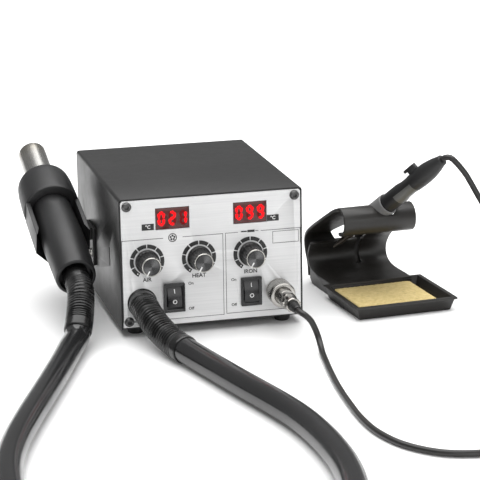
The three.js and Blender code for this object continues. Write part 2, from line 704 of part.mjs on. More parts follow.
// ---- soldering iron, along its own axis ----
function ironHandle() {
  const g = ironGripRadius;
  const grip = turned([[0, -5], [g - 0.8, -5], [g, -4], [g, 26], [g - 0.7, 31], [g - 0.7, 38], [g, 44],
    [g + 0.2, 55], [g - 0.3, 62], [g - 1.5, 68], [g - 2.9, 73.5], [3.9, ironGripEnd], [0, ironGripEnd]], 28);
  const tab = block([-g - 4.6, 44, -2], [2 - g, 53, 2]);
  const eye = bar(1.2, -4, 4, 10).rotateX(Math.PI / 2).translate(-g - 2.4, 49.5, 0);
  return cut(joined(grip, tab), eye);
}

function ironNut() {
  return joined(bar(6.4, -12, -5 - gap, 20), turned([[0, -17], [4.6, -17], [6.4, -11.6], [0, -11.6]], 20));
}

function ironBarrel() {
  return bar(3.1, ironBarrelEnd, -17 - gap, 20);
}

function ironTip() {
  const back = ironBarrelEnd - gap;
  return turned([[0, ironTipEnd], [0.5, ironTipEnd + 0.4], [2.3, ironTipEnd + 8], [2.3, back], [0, back]], 16);
}

// ---- iron cord ----
const cordStart = [connectorX, plugBootEnd - gap, connectorZ];
const lowerCordRoute = [cordStart, [connectorX, -60, connectorZ], [52.8, -64.4, 26.2], [57, -66.3, 22.2],
  [60, -68, 16], [61.6, -70.5, 10.4], [61.8, -76, 5.6], [60.6, -84.5, 3], [57.6, -104, cordLift],
  [54, -128, cordLift], [50, -160, cordLift], [47.2, -196, cordLift], [46, -228, cordLift],
  [48.6, -256, cordLift], [58, -282, cordLift], [77, -302, cordLift], [106, -309, cordLift],
  [138, -302, cordLift], [170, -283, cordLift], [200, -254, cordLift], [225, -220, cordLift],
  [243, -184, cordLift], [251.5, -150, cordLift],
  [coilCentre[0] + coilRadius + coilWall + cordRadius + gap, coilCentre[1] - 4, cordLift]];

function cordCoil() {
  const inner = coilRadius - coilWall;
  const outer = coilRadius + coilWall;
  return turned([[inner, 0.1], [outer, 0.1], [outer, coilHeight], [inner, coilHeight], [inner, 0.1]], 28)
    .rotateX(Math.PI / 2).translate(coilCentre[0], coilCentre[1], 0);
}

// A place in the stand's frame, in the station's own.
function fromStand(point) {
  return point.clone().applyAxisAngle(new THREE.Vector3(0, 0, 1), THREE.MathUtils.degToRad(standTurn))
    .add(standPlace);
}

function ironTail(distance) {
  return fromStand(ironPoint.clone().addScaledVector(ironWay, distance)).toArray();
}

function upperCord() {
  const [x, y, z] = ironTail(ironGripEnd + gap);
  const fall = [[4.2, -5.6, 2.2], [6.4, -7, 0.3], [8.9, -8.4, -2.6], [11.6, -9.7, -6], [14.5, -11.1, -10.2],
    [17.1, -12.5, -15], [19.6, -14.2, -20], [22.4, -16.8, -26], [25.8, -20.4, -33], [30.6, -27, -43.5],
    [37.6, -38.4, -61], [45.4, -51.6, -79], [52.8, -64.6, -92], [58.8, -76.6, -99.8]];
  const lay = coilHeight + gap + cordRadius;
  const route = [[x, y, z], ironTail(ironGripEnd + 3), ...fall.map(([dx, dy, dz]) => [x + dx, y + dy, z + dz]),
    [coilCentre[0] + 22.5, coilCentre[1] + 17, lay + 1], [coilCentre[0] + 25.5, coilCentre[1] + 9, lay]];
  return rod(route, cordRadius, 8, 36);
}

// ---- the whole ----
add('case_cover', caseCover(), paintedSteel());
add('base_pan', basePan(), paintedSteel());
add('front_panel', frontPanel(), brushedPlate());
add('rear_panel', rearPanel(), paintedSteel());
for (const [side, x] of [['left', -half + footInset], ['right', half - footInset]]) {
  for (const [end, y] of [['front', footInset], ['rear', caseDepth - footInset]]) {
    const foot = turned([[0, 0], [footRadius - 0.8, 0], [footRadius, footHeight], [0, footHeight]], 20);
    add(`foot_${end}_${side}`, foot.rotateX(Math.PI / 2).translate(x, y, 0), rubber());
  }
}
for (const [name, [x, z]] of Object.entries(screwPlaces)) {
  add(`panel_screw_${name}`, buttonScrew(9).translate(x, 0, z), finish(0x202020, 0.35, 0.8));
}
add('display_module_air', displayModule(-displayX), finish(0x2a0706, 0.2));
add('display_module_iron', displayModule(displayX), finish(0x2a0706, 0.2));
add('display_board', displayBoard(), board());
for (const [name, x] of Object.entries(knobXs)) {
  add(`potentiometer_${name}`, potentiometer(x), bareSteel());
  add(`knob_${name}`, knob(x), blackPlastic());
  add(`knob_cap_${name}`, knobCap(x), finish(0x55565a, 0.3, 0.9));
}
for (const [name, x] of Object.entries(switchXs)) {
  add(`switch_housing_${name}`, switchHousing(x), blackPlastic());
  add(`rocker_${name}`, rocker(x), finish(0x222224, 0.35));
}
add('iron_socket', ironSocket(), bareSteel());
add('coupling_ring', couplingRing(), bareSteel());
add('plug_body', plugBody(), bareSteel());
add('plug_boot', plugBoot(), rubber());
add('main_board', mainBoard(), board());
add('transformer', transformer(), finish(0x5c4a33, 0.5, 0.3));
add('air_pump', airPump(), finish(0x8c8f93, 0.45, 0.6));
add('inner_air_tube', innerAirTube(), finish(0xd8d4c6, 0.4));
add('power_inlet', powerInlet(), blackPlastic());
add('fuse_holder', fuseHolder(), blackPlastic());
add('outlet_boot', outletBoot(), rubber());
add('air_hose', airHose(), rubber());
add('handset_bracket', bracket(), paintedSteel());
bracketScrewYs.forEach((y, i) => add(`bracket_screw_${i ? 'rear' : 'front'}`, bracketScrew(y), bareSteel()));
add('handset_cradle', handsetCradle(), blackPlastic(), handsetHolder);
add('handset_handle', handsetHandle(), blackPlastic(), handsetHolder);
add('handset_cap', handsetCap(), blackPlastic(), handsetHolder);
add('heater_tube', heaterTube(), bareSteel(), handsetHolder);
add('heater_core', heaterCore(), finish(0xe4ddcf, 0.8), handsetHolder);

function handsetBoot() {
  const start = new THREE.Vector3(...handsetBootRoute[0]);
  const cuffTop = handsetButt.clone().addScaledVector(handsetWay, 6.5);
  const route = [cuffTop.toArray(), handsetButt.clone().addScaledVector(handsetWay, -6).toArray(),
    start.toArray(), ...handsetBootRoute.slice(1)];
  return rod(route, bootRadius - 0.2, 12, 16);
}
add('handset_boot', handsetBoot(), rubber());

add('stand_base', standBase(), blackPlastic(), stand);
add('stand_shell', standShell(), blackPlastic(), stand);
add('sponge', sponge(), finish(0xdcb85a, 0.95), stand);
const ironHolder = axisGroup(ironPoint, ironWay, stand);
add('stand_collar', standCollar(), finish(0x7d7f80, 0.45, 0.6), ironHolder);
add('iron_handle', ironHandle(), blackPlastic(), ironHolder);
add('iron_nut', ironNut(), bareSteel(), ironHolder);
add('iron_barrel', ironBarrel(), bareSteel(), ironHolder);
add('iron_tip', ironTip(), bareSteel(), ironHolder);
add('iron_cord_lower', rod(lowerCordRoute, cordRadius, 8, 48), rubber());
add('iron_cord_coil', cordCoil(), rubber());
add('iron_cord_upper', upperCord(), rubber());

// The origin is the middle of the footprint of everything but the cords and what is on them.
const loose = ['air_hose', 'outlet_boot', 'handset_boot', 'iron_cord_lower', 'iron_cord_coil', 'iron_cord_upper',
  'plug_body', 'coupling_ring', 'plug_boot'];
group.updateMatrixWorld(true);
const box = new THREE.Box3();
group.traverse((mesh) => {
  if (mesh.isMesh && !loose.includes(mesh.name)) box.expandByObject(mesh, true);
});
const centre = box.getCenter(new THREE.Vector3());
group.position.set(-centre.x, -centre.y, -box.min.z);

export default group;
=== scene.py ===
import json
import math

import bmesh
import bpy
from mathutils import Matrix, Quaternion, Vector, noise


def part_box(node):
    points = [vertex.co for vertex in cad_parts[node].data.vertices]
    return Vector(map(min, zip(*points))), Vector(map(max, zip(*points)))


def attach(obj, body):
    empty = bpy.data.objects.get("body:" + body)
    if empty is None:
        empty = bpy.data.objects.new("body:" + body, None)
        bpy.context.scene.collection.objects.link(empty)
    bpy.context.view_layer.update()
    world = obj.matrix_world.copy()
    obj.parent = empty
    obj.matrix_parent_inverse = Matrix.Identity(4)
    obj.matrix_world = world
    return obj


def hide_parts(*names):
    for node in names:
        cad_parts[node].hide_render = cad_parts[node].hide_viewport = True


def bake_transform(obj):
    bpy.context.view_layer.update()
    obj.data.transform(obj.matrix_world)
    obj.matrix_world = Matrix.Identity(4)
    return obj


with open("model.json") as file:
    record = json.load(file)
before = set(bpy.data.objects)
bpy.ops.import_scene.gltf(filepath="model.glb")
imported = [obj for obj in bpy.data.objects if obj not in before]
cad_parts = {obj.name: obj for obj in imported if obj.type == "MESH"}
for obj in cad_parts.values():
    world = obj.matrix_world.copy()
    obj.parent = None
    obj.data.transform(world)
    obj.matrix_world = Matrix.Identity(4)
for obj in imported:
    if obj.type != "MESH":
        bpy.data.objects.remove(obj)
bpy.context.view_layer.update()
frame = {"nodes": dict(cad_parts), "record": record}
scene = bpy.context.scene
record = frame["record"]
bodyOf = {node: body for body, nodes in record["behaviour"]["bodies"].items() for node in nodes}

# everything below is worked out in millimetres from the middle of the panel's foot, then placed
mm = 0.001
panelLow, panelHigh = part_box("front_panel")
zero = Vector(((panelLow[0] + panelHigh[0]) / 2, panelLow[1], 0))


def at(x, y, z):
    return zero + Vector((x, y, z)) * mm


def frameOf(origin, alongZ, upX=None):
    # a place whose local Z runs along a direction, in metres from millimetres
    z = Vector(alongZ).normalized()
    x = Vector(upX) if upX else (Vector((1, 0, 0)) if abs(z.x) < 0.9 else Vector((0, 1, 0)))
    y = z.cross(x).normalized()
    x = y.cross(z)
    turn = Matrix((x, y, z)).transposed().to_4x4()
    return Matrix.Translation(origin) @ turn @ Matrix.Scale(mm, 4)


def outOfPanel(x, y, z):
    # local X to the right, local Y up, local Z out towards the user
    return frameOf(at(x, y, z), (0, -1, 0), (1, 0, 0))


# camera and light
cameraView = {
    "place": (-346.81, -1480.77, 472.88), "ahead": (0.23343, 0.93801, -0.25621),
    "roll": -0.0153, "lens": 158.44, "sensor": 36,
}


def makeCamera(v):
    data = bpy.data.cameras.new("camera")
    data.lens, data.sensor_width = v["lens"], v["sensor"]
    data.clip_start, data.clip_end = 0.05, 30
    camera = bpy.data.objects.new("camera", data)
    ahead = Vector(v["ahead"]).normalized()
    right = ahead.cross(Vector((0, 0, 1))).normalized()
    up = right.cross(ahead)
    tiltedRight = math.cos(v["roll"]) * right + math.sin(v["roll"]) * up
    tiltedUp = -math.sin(v["roll"]) * right + math.cos(v["roll"]) * up
    turn = Matrix((tiltedRight, tiltedUp, -ahead)).transposed().to_4x4()
    camera.matrix_world = Matrix.Translation(at(*v["place"])) @ turn
    scene.collection.objects.link(camera)
    scene.camera = camera


lamps = {
    "overhead": {"place": (-60, 150, 1300), "aim": (0, 60, 0), "size": (2000, 1700), "watts": 33},
    "left": {"place": (-950, -350, 520), "aim": (-40, 0, 60), "size": (420, 800), "watts": 1.2,
        "mirrored": False},
    "front": {"place": (300, -1900, 700), "aim": (20, 0, 50), "size": (2000, 1100), "watts": 13},
    "back": {"place": (500, 2300, 1700), "aim": (500, 2300, 0), "size": (4200, 2600), "watts": 75,
        "mirrored": False},
    "right": {"place": (850, 200, 420), "aim": (80, 0, 60), "size": (400, 700), "watts": 2},
}

roomLight = 0.3    # the plain white surroundings


def makeLamps():
    for name, v in lamps.items():
        data = bpy.data.lights.new(name, "AREA")
        data.shape, data.size, data.size_y = "RECTANGLE", v["size"][0] * mm, v["size"][1] * mm
        data.energy = v["watts"]
        lamp = bpy.data.objects.new(name, data)
        aim = at(*v["aim"]) - at(*v["place"])
        turn = aim.to_track_quat("-Z", "Y").to_matrix().to_4x4()
        lamp.matrix_world = Matrix.Translation(at(*v["place"])) @ turn
        lamp.visible_glossy = v.get("mirrored", True)
        scene.collection.objects.link(lamp)
    world = bpy.data.worlds.new("studio")
    world.use_nodes = True
    world.node_tree.nodes["Background"].inputs["Color"].default_value = (1, 1, 1, 1)
    world.node_tree.nodes["Background"].inputs["Strength"].default_value = roomLight
    scene.world = world
    scene.view_settings.view_transform = "Standard"


makeCamera(cameraView)
makeLamps()
print("camera and lamps ready")


# shader groups
def newGroup(name, inputs, outputs):
    tree = bpy.data.node_groups.new(name, "ShaderNodeTree")
    for label, kind, value in inputs:
        socket = tree.interface.new_socket(label, in_out="INPUT", socket_type=kind)
        if value is not None:
            socket.default_value = value
    for label, kind in outputs:
        tree.interface.new_socket(label, in_out="OUTPUT", socket_type=kind)
    return tree, tree.nodes.new("NodeGroupInput"), tree.nodes.new("NodeGroupOutput")


def addNode(tree, kind, **settings):
    node = tree.nodes.new(kind)
    for name, value in settings.items():
        if name in node.inputs:
            node.inputs[name].default_value = value
        else:
            setattr(node, name, value)
    return node


def joinSockets(tree, *pairs):
    for source, target in pairs:
        tree.links.new(source, target)


def makeGrainGroup():
    # a fine moulded or sprayed texture: its height, and how it changes the roughness
    tree, inside, outside = newGroup("fineGrain", [("Vector", "NodeSocketVector", None),
        ("Scale", "NodeSocketFloat", 900.0), ("Rough Low", "NodeSocketFloat", 0.4),
        ("Rough High", "NodeSocketFloat", 0.6)],
        [("Height", "NodeSocketFloat"), ("Roughness", "NodeSocketFloat")])
    grain = addNode(tree, "ShaderNodeTexNoise", Detail=3.0, Roughness=0.6)
    cells = addNode(tree, "ShaderNodeTexVoronoi", Randomness=1.0)
    blotch = addNode(tree, "ShaderNodeTexNoise", Scale=26.0, Detail=4.0, Roughness=0.65)
    mixed = addNode(tree, "ShaderNodeMath", operation="MULTIPLY_ADD")
    mixed.inputs[1].default_value = 0.5
    spread = addNode(tree, "ShaderNodeMapRange")
    spread.inputs["From Min"].default_value, spread.inputs["From Max"].default_value = 0.3, 0.7
    joinSockets(tree, (inside.outputs["Vector"], grain.inputs["Vector"]),
        (inside.outputs["Vector"], cells.inputs["Vector"]),
        (inside.outputs["Vector"], blotch.inputs["Vector"]),
        (inside.outputs["Scale"], grain.inputs["Scale"]), (inside.outputs["Scale"], cells.inputs["Scale"]),
        (cells.outputs["Distance"], mixed.inputs[0]), (grain.outputs["Fac"], mixed.inputs[2]),
        (blotch.outputs["Fac"], spread.inputs["Value"]),
        (inside.outputs["Rough Low"], spread.inputs["To Min"]),
        (inside.outputs["Rough High"], spread.inputs["To Max"]),
        (mixed.outputs["Value"], outside.inputs["Height"]),
        (spread.outputs["Result"], outside.inputs["Roughness"]))
    return tree


def makeWearGroup():
    # a broken, paler line where hands and tools rub the edges, over a slowly drifting tone
    tree, inside, outside = newGroup("edgeWear", [("Vector", "NodeSocketVector", None),
        ("Base", "NodeSocketColor", (0.1, 0.1, 0.1, 1)), ("Worn", "NodeSocketColor", (0.2, 0.2, 0.2, 1)),
        ("Amount", "NodeSocketFloat", 0.4)], [("Color", "NodeSocketColor"), ("Mask", "NodeSocketFloat")])
    shape = addNode(tree, "ShaderNodeNewGeometry")
    edge = addNode(tree, "ShaderNodeMapRange")
    edge.inputs["From Min"].default_value, edge.inputs["From Max"].default_value = 0.52, 0.62
    patches = addNode(tree, "ShaderNodeTexNoise", Scale=140.0, Detail=5.0, Roughness=0.7)
    broken = addNode(tree, "ShaderNodeMath", operation="MULTIPLY")
    strength = addNode(tree, "ShaderNodeMath", operation="MULTIPLY", use_clamp=True)
    drift = addNode(tree, "ShaderNodeTexNoise", Scale=14.0, Detail=3.0, Roughness=0.5)
    shade = addNode(tree, "ShaderNodeMapRange")
    shade.inputs["To Min"].default_value, shade.inputs["To Max"].default_value = 0.8, 1.25
    toned = addNode(tree, "ShaderNodeVectorMath", operation="SCALE")
    blend = addNode(tree, "ShaderNodeMix", data_type="RGBA")
    joinSockets(tree, (inside.outputs["Vector"], patches.inputs["Vector"]),
        (inside.outputs["Vector"], drift.inputs["Vector"]),
        (shape.outputs["Pointiness"], edge.inputs["Value"]), (edge.outputs["Result"], broken.inputs[0]),
        (patches.outputs["Fac"], broken.inputs[1]), (broken.outputs["Value"], strength.inputs[0]),
        (inside.outputs["Amount"], strength.inputs[1]), (drift.outputs["Fac"], shade.inputs["Value"]),
        (inside.outputs["Base"], toned.inputs[0]), (shade.outputs["Result"], toned.inputs["Scale"]),
        (toned.outputs["Vector"], blend.inputs["A"]), (inside.outputs["Worn"], blend.inputs["B"]),
        (strength.outputs["Value"], blend.inputs["Factor"]),
        (blend.outputs["Result"], outside.inputs["Color"]),
        (strength.outputs["Value"], outside.inputs["Mask"]))
    return tree


def makeBrushGroup():
    # long parallel scratches of a brushed plate: a mask and a height, drawn out along local X
    tree, inside, outside = newGroup("brushedLines", [("Vector", "NodeSocketVector", None),
        ("Fineness", "NodeSocketFloat", 1.0)], [("Mask", "NodeSocketFloat"), ("Height", "NodeSocketFloat")])
    stretch = addNode(tree, "ShaderNodeMapping")
    stretch.inputs["Scale"].default_value = (60, 60, 3600)
    scaled = addNode(tree, "ShaderNodeVectorMath", operation="SCALE")
    fine = addNode(tree, "ShaderNodeTexNoise", Scale=1.0, Detail=4.0, Roughness=0.65)
    wide = addNode(tree, "ShaderNodeTexNoise", Scale=0.2, Detail=3.0, Roughness=0.6)
    both = addNode(tree, "ShaderNodeMath", operation="MULTIPLY_ADD")
    both.inputs[1].default_value = 0.6
    spread = addNode(tree, "ShaderNodeMapRange")
    spread.inputs["From Min"].default_value, spread.inputs["From Max"].default_value = 0.55, 1.05
    joinSockets(tree, (inside.outputs["Vector"], stretch.inputs["Vector"]),
        (stretch.outputs["Vector"], scaled.inputs[0]), (inside.outputs["Fineness"], scaled.inputs["Scale"]),
        (scaled.outputs["Vector"], fine.inputs["Vector"]),
        (scaled.outputs["Vector"], wide.inputs["Vector"]), (fine.outputs["Fac"], both.inputs[0]),
        (wide.outputs["Fac"], both.inputs[2]), (both.outputs["Value"], spread.inputs["Value"]),
        (spread.outputs["Result"], outside.inputs["Mask"]),
        (both.outputs["Value"], outside.inputs["Height"]))
    return tree


grainGroup = makeGrainGroup()
wearGroup = makeWearGroup()
brushGroup = makeBrushGroup()


# finishes
def startMaterial(name, settings):
    material = bpy.data.materials.new(name)
    material.use_nodes = True
    tree = material.node_tree
    shader = tree.nodes["Principled BSDF"]
    for socket, value in settings.items():
        shader.inputs[socket].default_value = value
    place = tree.nodes.new("ShaderNodeTexCoord")
    return material, tree, shader, place


def placeGroup(tree, group, **values):
    node = tree.nodes.new("ShaderNodeGroup")
    node.node_tree = group
    for name, value in values.items():
        node.inputs[name.replace("_", " ")].default_value = value
    return node


def grainedMaterial(name, v):
    # the common moulded, painted or rubber finish
    base = (*v["color"], 1)
    worn = (*v.get("worn", [min(1, c * 2.2 + 0.02) for c in v["color"]]), 1)
    material, tree, shader, place = startMaterial(name, {"Metallic": v.get("metallic", 0),
        "Coat Weight": v.get("coat", 0), "Coat Roughness": v.get("coatRoughness", 0.2),
        "Specular IOR Level": v.get("specular", 0.5)})
    grain = placeGroup(tree, grainGroup, Scale=v["grain"], Rough_Low=v["rough"][0],
        Rough_High=v["rough"][1])
    wear = placeGroup(tree, wearGroup, Base=base, Worn=worn, Amount=v.get("wear", 0.35))
    bump = addNode(tree, "ShaderNodeBump", Strength=v.get("bump", 0.12), Distance=v.get("depth", 0.0003))
    joinSockets(tree, (place.outputs["Object"], grain.inputs["Vector"]),
        (place.outputs["Object"], wear.inputs["Vector"]), (grain.outputs["Height"], bump.inputs["Height"]),
        (bump.outputs["Normal"], shader.inputs["Normal"]),
        (grain.outputs["Roughness"], shader.inputs["Roughness"]),
        (wear.outputs["Color"], shader.inputs["Base Color"]))
    return material


grainedFinishes = {
    "casePaint": {"color": (0.013, 0.013, 0.013), "rough": (0.34, 0.46), "grain": 1500, "bump": 0.10,
        "wear": 0.25, "specular": 0.34},
    "handlePlastic": {"color": (0.012, 0.012, 0.0125), "rough": (0.36, 0.48), "grain": 1900, "bump": 0.10,
        "specular": 0.4},
    "standPlastic": {"color": (0.0085, 0.0074, 0.0062), "rough": (0.36, 0.5), "grain": 1300, "bump": 0.12},
    "knobPlastic": {"color": (0.006, 0.006, 0.006), "rough": (0.28, 0.4), "grain": 2200, "bump": 0.06},
    "glossBlack": {"color": (0.008, 0.008, 0.009), "rough": (0.2, 0.3), "grain": 1800, "bump": 0.04,
        "wear": 0.2},
    "bootRubber": {"color": (0.005, 0.005, 0.005), "rough": (0.22, 0.32), "grain": 1600, "bump": 0.08,
        "wear": 0.3},
    "hoseRubber": {"color": (0.012, 0.012, 0.0125), "rough": (0.14, 0.26), "grain": 700, "bump": 0.07,
        "wear": 0.1, "specular": 0.55},
    "cordJacket": {"color": (0.012, 0.011, 0.0105), "rough": (0.3, 0.42), "grain": 1500, "bump": 0.06,
        "wear": 0.1},
    "footRubber": {"color": (0.006, 0.006, 0.006), "rough": (0.55, 0.7), "grain": 1200, "bump": 0.2},
    "blackScrew": {"color": (0.085, 0.085, 0.085), "rough": (0.25, 0.38), "grain": 1500, "bump": 0.05,
        "metallic": 0.85, "wear": 0.6},
    "bareSteel": {"color": (0.50, 0.49, 0.46), "rough": (0.2, 0.34), "grain": 1200, "bump": 0.03,
        "metallic": 1, "wear": 0.1, "worn": (0.66, 0.65, 0.62)},
    # dark steel for the iron's nut, barrel and tip: partly heat tarnish, partly painted shade that lets the
    # barrel and tip sink into the shade under the stand
    "tarnishShadeSteel": {"color": (0.085, 0.072, 0.06), "rough": (0.34, 0.5), "grain": 1200, "bump": 0.05,
        "metallic": 0.9, "wear": 0.2},
    "nickelPlate": {"color": (0.34, 0.33, 0.31), "rough": (0.1, 0.2), "grain": 1500, "bump": 0.02,
        "metallic": 1, "wear": 0.1, "worn": (0.75, 0.73, 0.70)},
    "collarGrey": {"color": (0.115, 0.115, 0.114), "rough": (0.4, 0.52), "grain": 2000, "bump": 0.08},
    "boardGreen": {"color": (0.03, 0.15, 0.06), "rough": (0.35, 0.5), "grain": 600, "bump": 0.1},
    "varnishedCore": {"color": (0.11, 0.08, 0.05), "rough": (0.4, 0.55), "grain": 700, "bump": 0.2},
    "castAlloy": {"color": (0.42, 0.43, 0.44), "rough": (0.38, 0.5), "grain": 900, "bump": 0.25,
        "metallic": 0.8},
    "milkyTube": {"color": (0.62, 0.60, 0.53), "rough": (0.3, 0.42), "grain": 900, "bump": 0.05},
    "ceramicCore": {"color": (0.72, 0.68, 0.60), "rough": (0.7, 0.85), "grain": 900, "bump": 0.3},
    "labelSilver": {"color": (0.105, 0.105, 0.10), "rough": (0.32, 0.44), "grain": 900, "bump": 0.03,
        "metallic": 0.4, "wear": 0.2, "worn": (0.12, 0.12, 0.12)},
    "panelPrint": {"color": (0.010, 0.010, 0.010), "rough": (0.4, 0.55), "grain": 1600, "bump": 0.03,
        "wear": 0},
    "markWhite": {"color": (0.74, 0.74, 0.73), "rough": (0.4, 0.5), "grain": 1600, "bump": 0.03,
        "wear": 0.1},
    "bezelBrown": {"color": (0.065, 0.005, 0.004), "rough": (0.16, 0.24), "grain": 900, "bump": 0.02,
        "wear": 0.1},
}
finish = {name: grainedMaterial(name, values) for name, values in grainedFinishes.items()}


def brushedMaterial():
    material, tree, shader, place = startMaterial("brushedPlate",
        {"Metallic": 0.5, "Specular IOR Level": 0.4})
    lines = placeGroup(tree, brushGroup, Fineness=1.0)
    smudge = addNode(tree, "ShaderNodeTexNoise", Scale=22.0, Detail=4.0, Roughness=0.6)
    color = addNode(tree, "ShaderNodeMix", data_type="RGBA")
    color.inputs["A"].default_value = (0.62, 0.622, 0.625, 1)
    color.inputs["B"].default_value = (0.70, 0.70, 0.70, 1)
    rough = addNode(tree, "ShaderNodeMapRange")
    rough.inputs["To Min"].default_value, rough.inputs["To Max"].default_value = 0.42, 0.56
    bump = addNode(tree, "ShaderNodeBump", Strength=0.06, Distance=0.0001)
    joinSockets(tree, (place.outputs["Object"], lines.inputs["Vector"]),
        (place.outputs["Object"], smudge.inputs["Vector"]), (lines.outputs["Mask"], color.inputs["Factor"]),
        (smudge.outputs["Fac"], rough.inputs["Value"]),
        (rough.outputs["Result"], shader.inputs["Roughness"]),
        (lines.outputs["Height"], bump.inputs["Height"]),
        (bump.outputs["Normal"], shader.inputs["Normal"]),
        (color.outputs["Result"], shader.inputs["Base Color"]))
    return material


def spunMaterial():
    # turned rings about the middle of the piece's own map, with a painted sheen: the colour is paler in two
    # opposite wedges round that middle
    material, tree, shader, place = startMaterial("spunSheenCap", {"Metallic": 0.9})
    radius = addNode(tree, "ShaderNodeVectorMath", operation="LENGTH")
    rings = addNode(tree, "ShaderNodeMath", operation="SINE")
    finer = addNode(tree, "ShaderNodeMath", operation="MULTIPLY")
    finer.inputs[1].default_value = 13
    split = addNode(tree, "ShaderNodeSeparateXYZ")
    angle = addNode(tree, "ShaderNodeMath", operation="ARCTAN2")
    doubled = addNode(tree, "ShaderNodeMath", operation="MULTIPLY")
    doubled.inputs[1].default_value = 2
    sweep = addNode(tree, "ShaderNodeMath", operation="SINE")
    paintedSheen = addNode(tree, "ShaderNodeMapRange")
    paintedSheen.inputs["From Min"].default_value, paintedSheen.inputs["From Max"].default_value = -0.6, 1.0
    paintedSheen.inputs["To Min"].default_value, paintedSheen.inputs["To Max"].default_value = 0, 1
    color = addNode(tree, "ShaderNodeMix", data_type="RGBA")
    color.inputs["A"].default_value = (0.05, 0.05, 0.051, 1)
    color.inputs["B"].default_value = (0.13, 0.13, 0.132, 1)
    rough = addNode(tree, "ShaderNodeMapRange")
    rough.inputs["From Min"].default_value = -1
    rough.inputs["To Min"].default_value, rough.inputs["To Max"].default_value = 0.24, 0.36
    bump = addNode(tree, "ShaderNodeBump", Strength=0.18, Distance=0.0001)
    joinSockets(tree, (place.outputs["UV"], radius.inputs[0]),
        (place.outputs["UV"], split.inputs["Vector"]), (radius.outputs["Value"], finer.inputs[0]),
        (finer.outputs["Value"], rings.inputs[0]), (split.outputs["X"], angle.inputs[0]),
        (split.outputs["Y"], angle.inputs[1]), (angle.outputs["Value"], doubled.inputs[0]),
        (doubled.outputs["Value"], sweep.inputs[0]), (sweep.outputs["Value"], paintedSheen.inputs["Value"]),
        (paintedSheen.outputs["Result"], color.inputs["Factor"]), (rings.outputs["Value"], rough.inputs["Value"]),
        (rough.outputs["Result"], shader.inputs["Roughness"]),
        (rings.outputs["Value"], bump.inputs["Height"]), (bump.outputs["Normal"], shader.inputs["Normal"]),
        (color.outputs["Result"], shader.inputs["Base Color"]))
    return material


def glowMaterial(name, color, strength):
    # a lit display segment, its colour varied in fine random spots
    material, tree, shader, place = startMaterial(name, {"Roughness": 0.5, "Specular IOR Level": 0.1,
        "Emission Strength": strength})
    spots = addNode(tree, "ShaderNodeTexNoise", Scale=420.0, Detail=2.0)
    mixed = addNode(tree, "ShaderNodeMix", data_type="RGBA")
    mixed.inputs["A"].default_value = (*color, 1)
    mixed.inputs["B"].default_value = (min(1, color[0] * 1.1), color[1] * 2.4, color[2] * 2.4, 1)
    base = addNode(tree, "ShaderNodeMix", data_type="RGBA")
    base.inputs["A"].default_value = (color[0] * 0.4, 0.004, 0.004, 1)
    base.inputs["B"].default_value = (color[0] * 0.5, 0.006, 0.006, 1)
    joinSockets(tree, (place.outputs["Object"], spots.inputs["Vector"]),
        (spots.outputs["Fac"], mixed.inputs["Factor"]), (spots.outputs["Fac"], base.inputs["Factor"]),
        (mixed.outputs["Result"], shader.inputs["Emission Color"]),
        (base.outputs["Result"], shader.inputs["Base Color"]))
    return material


def spongeMaterial():
    material, tree, shader, place = startMaterial("dampSponge", {"Specular IOR Level": 0.2})
    pores = addNode(tree, "ShaderNodeTexVoronoi", Scale=620.0, Randomness=1.0)
    large = addNode(tree, "ShaderNodeTexVoronoi", Scale=190.0, Randomness=1.0)
    mottle = addNode(tree, "ShaderNodeTexNoise", Scale=260.0, Detail=5.0, Roughness=0.7)
    stain = addNode(tree, "ShaderNodeTexNoise", Scale=38.0, Detail=4.0, Roughness=0.6)
    tone = addNode(tree, "ShaderNodeValToRGB")
    tone.color_ramp.elements[0].position, tone.color_ramp.elements[1].position = 0.28, 0.72
    tone.color_ramp.elements[0].color = (0.48, 0.37, 0.15, 1)
    tone.color_ramp.elements[1].color = (0.66, 0.53, 0.26, 1)
    # the pores of the large cells darken the colour: painted shade in the pores; the same mask also deepens
    # the bump
    poreShadeDepth = addNode(tree, "ShaderNodeMapRange")
    poreShadeDepth.inputs["From Min"].default_value, poreShadeDepth.inputs["From Max"].default_value = 0.05, 0.30
    poreShadeDepth.inputs["To Min"].default_value, poreShadeDepth.inputs["To Max"].default_value = 0.74, 1
    dark = addNode(tree, "ShaderNodeVectorMath", operation="SCALE")
    patch = addNode(tree, "ShaderNodeMapRange")
    patch.inputs["To Min"].default_value, patch.inputs["To Max"].default_value = 0.86, 1.1
    damp = addNode(tree, "ShaderNodeVectorMath", operation="SCALE")
    rough = addNode(tree, "ShaderNodeMapRange")
    rough.inputs["To Min"].default_value, rough.inputs["To Max"].default_value = 0.75, 0.95
    depth = addNode(tree, "ShaderNodeMath", operation="ADD")
    bump = addNode(tree, "ShaderNodeBump", Strength=0.5, Distance=0.0006)
    where = place.outputs["Object"]
    joinSockets(tree, (where, pores.inputs["Vector"]), (where, large.inputs["Vector"]),
        (where, mottle.inputs["Vector"]), (where, stain.inputs["Vector"]),
        (mottle.outputs["Fac"], tone.inputs["Fac"]), (large.outputs["Distance"], poreShadeDepth.inputs["Value"]),
        (tone.outputs["Color"], dark.inputs[0]), (poreShadeDepth.outputs["Result"], dark.inputs["Scale"]),
        (stain.outputs["Fac"], patch.inputs["Value"]), (dark.outputs["Vector"], damp.inputs[0]),
        (patch.outputs["Result"], damp.inputs["Scale"]),
        (damp.outputs["Vector"], shader.inputs["Base Color"]),
        (stain.outputs["Fac"], rough.inputs["Value"]),
        (rough.outputs["Result"], shader.inputs["Roughness"]),
        (pores.outputs["Distance"], depth.inputs[0]), (poreShadeDepth.outputs["Result"], depth.inputs[1]),
        (depth.outputs["Value"], bump.inputs["Height"]), (bump.outputs["Normal"], shader.inputs["Normal"]))
    return material


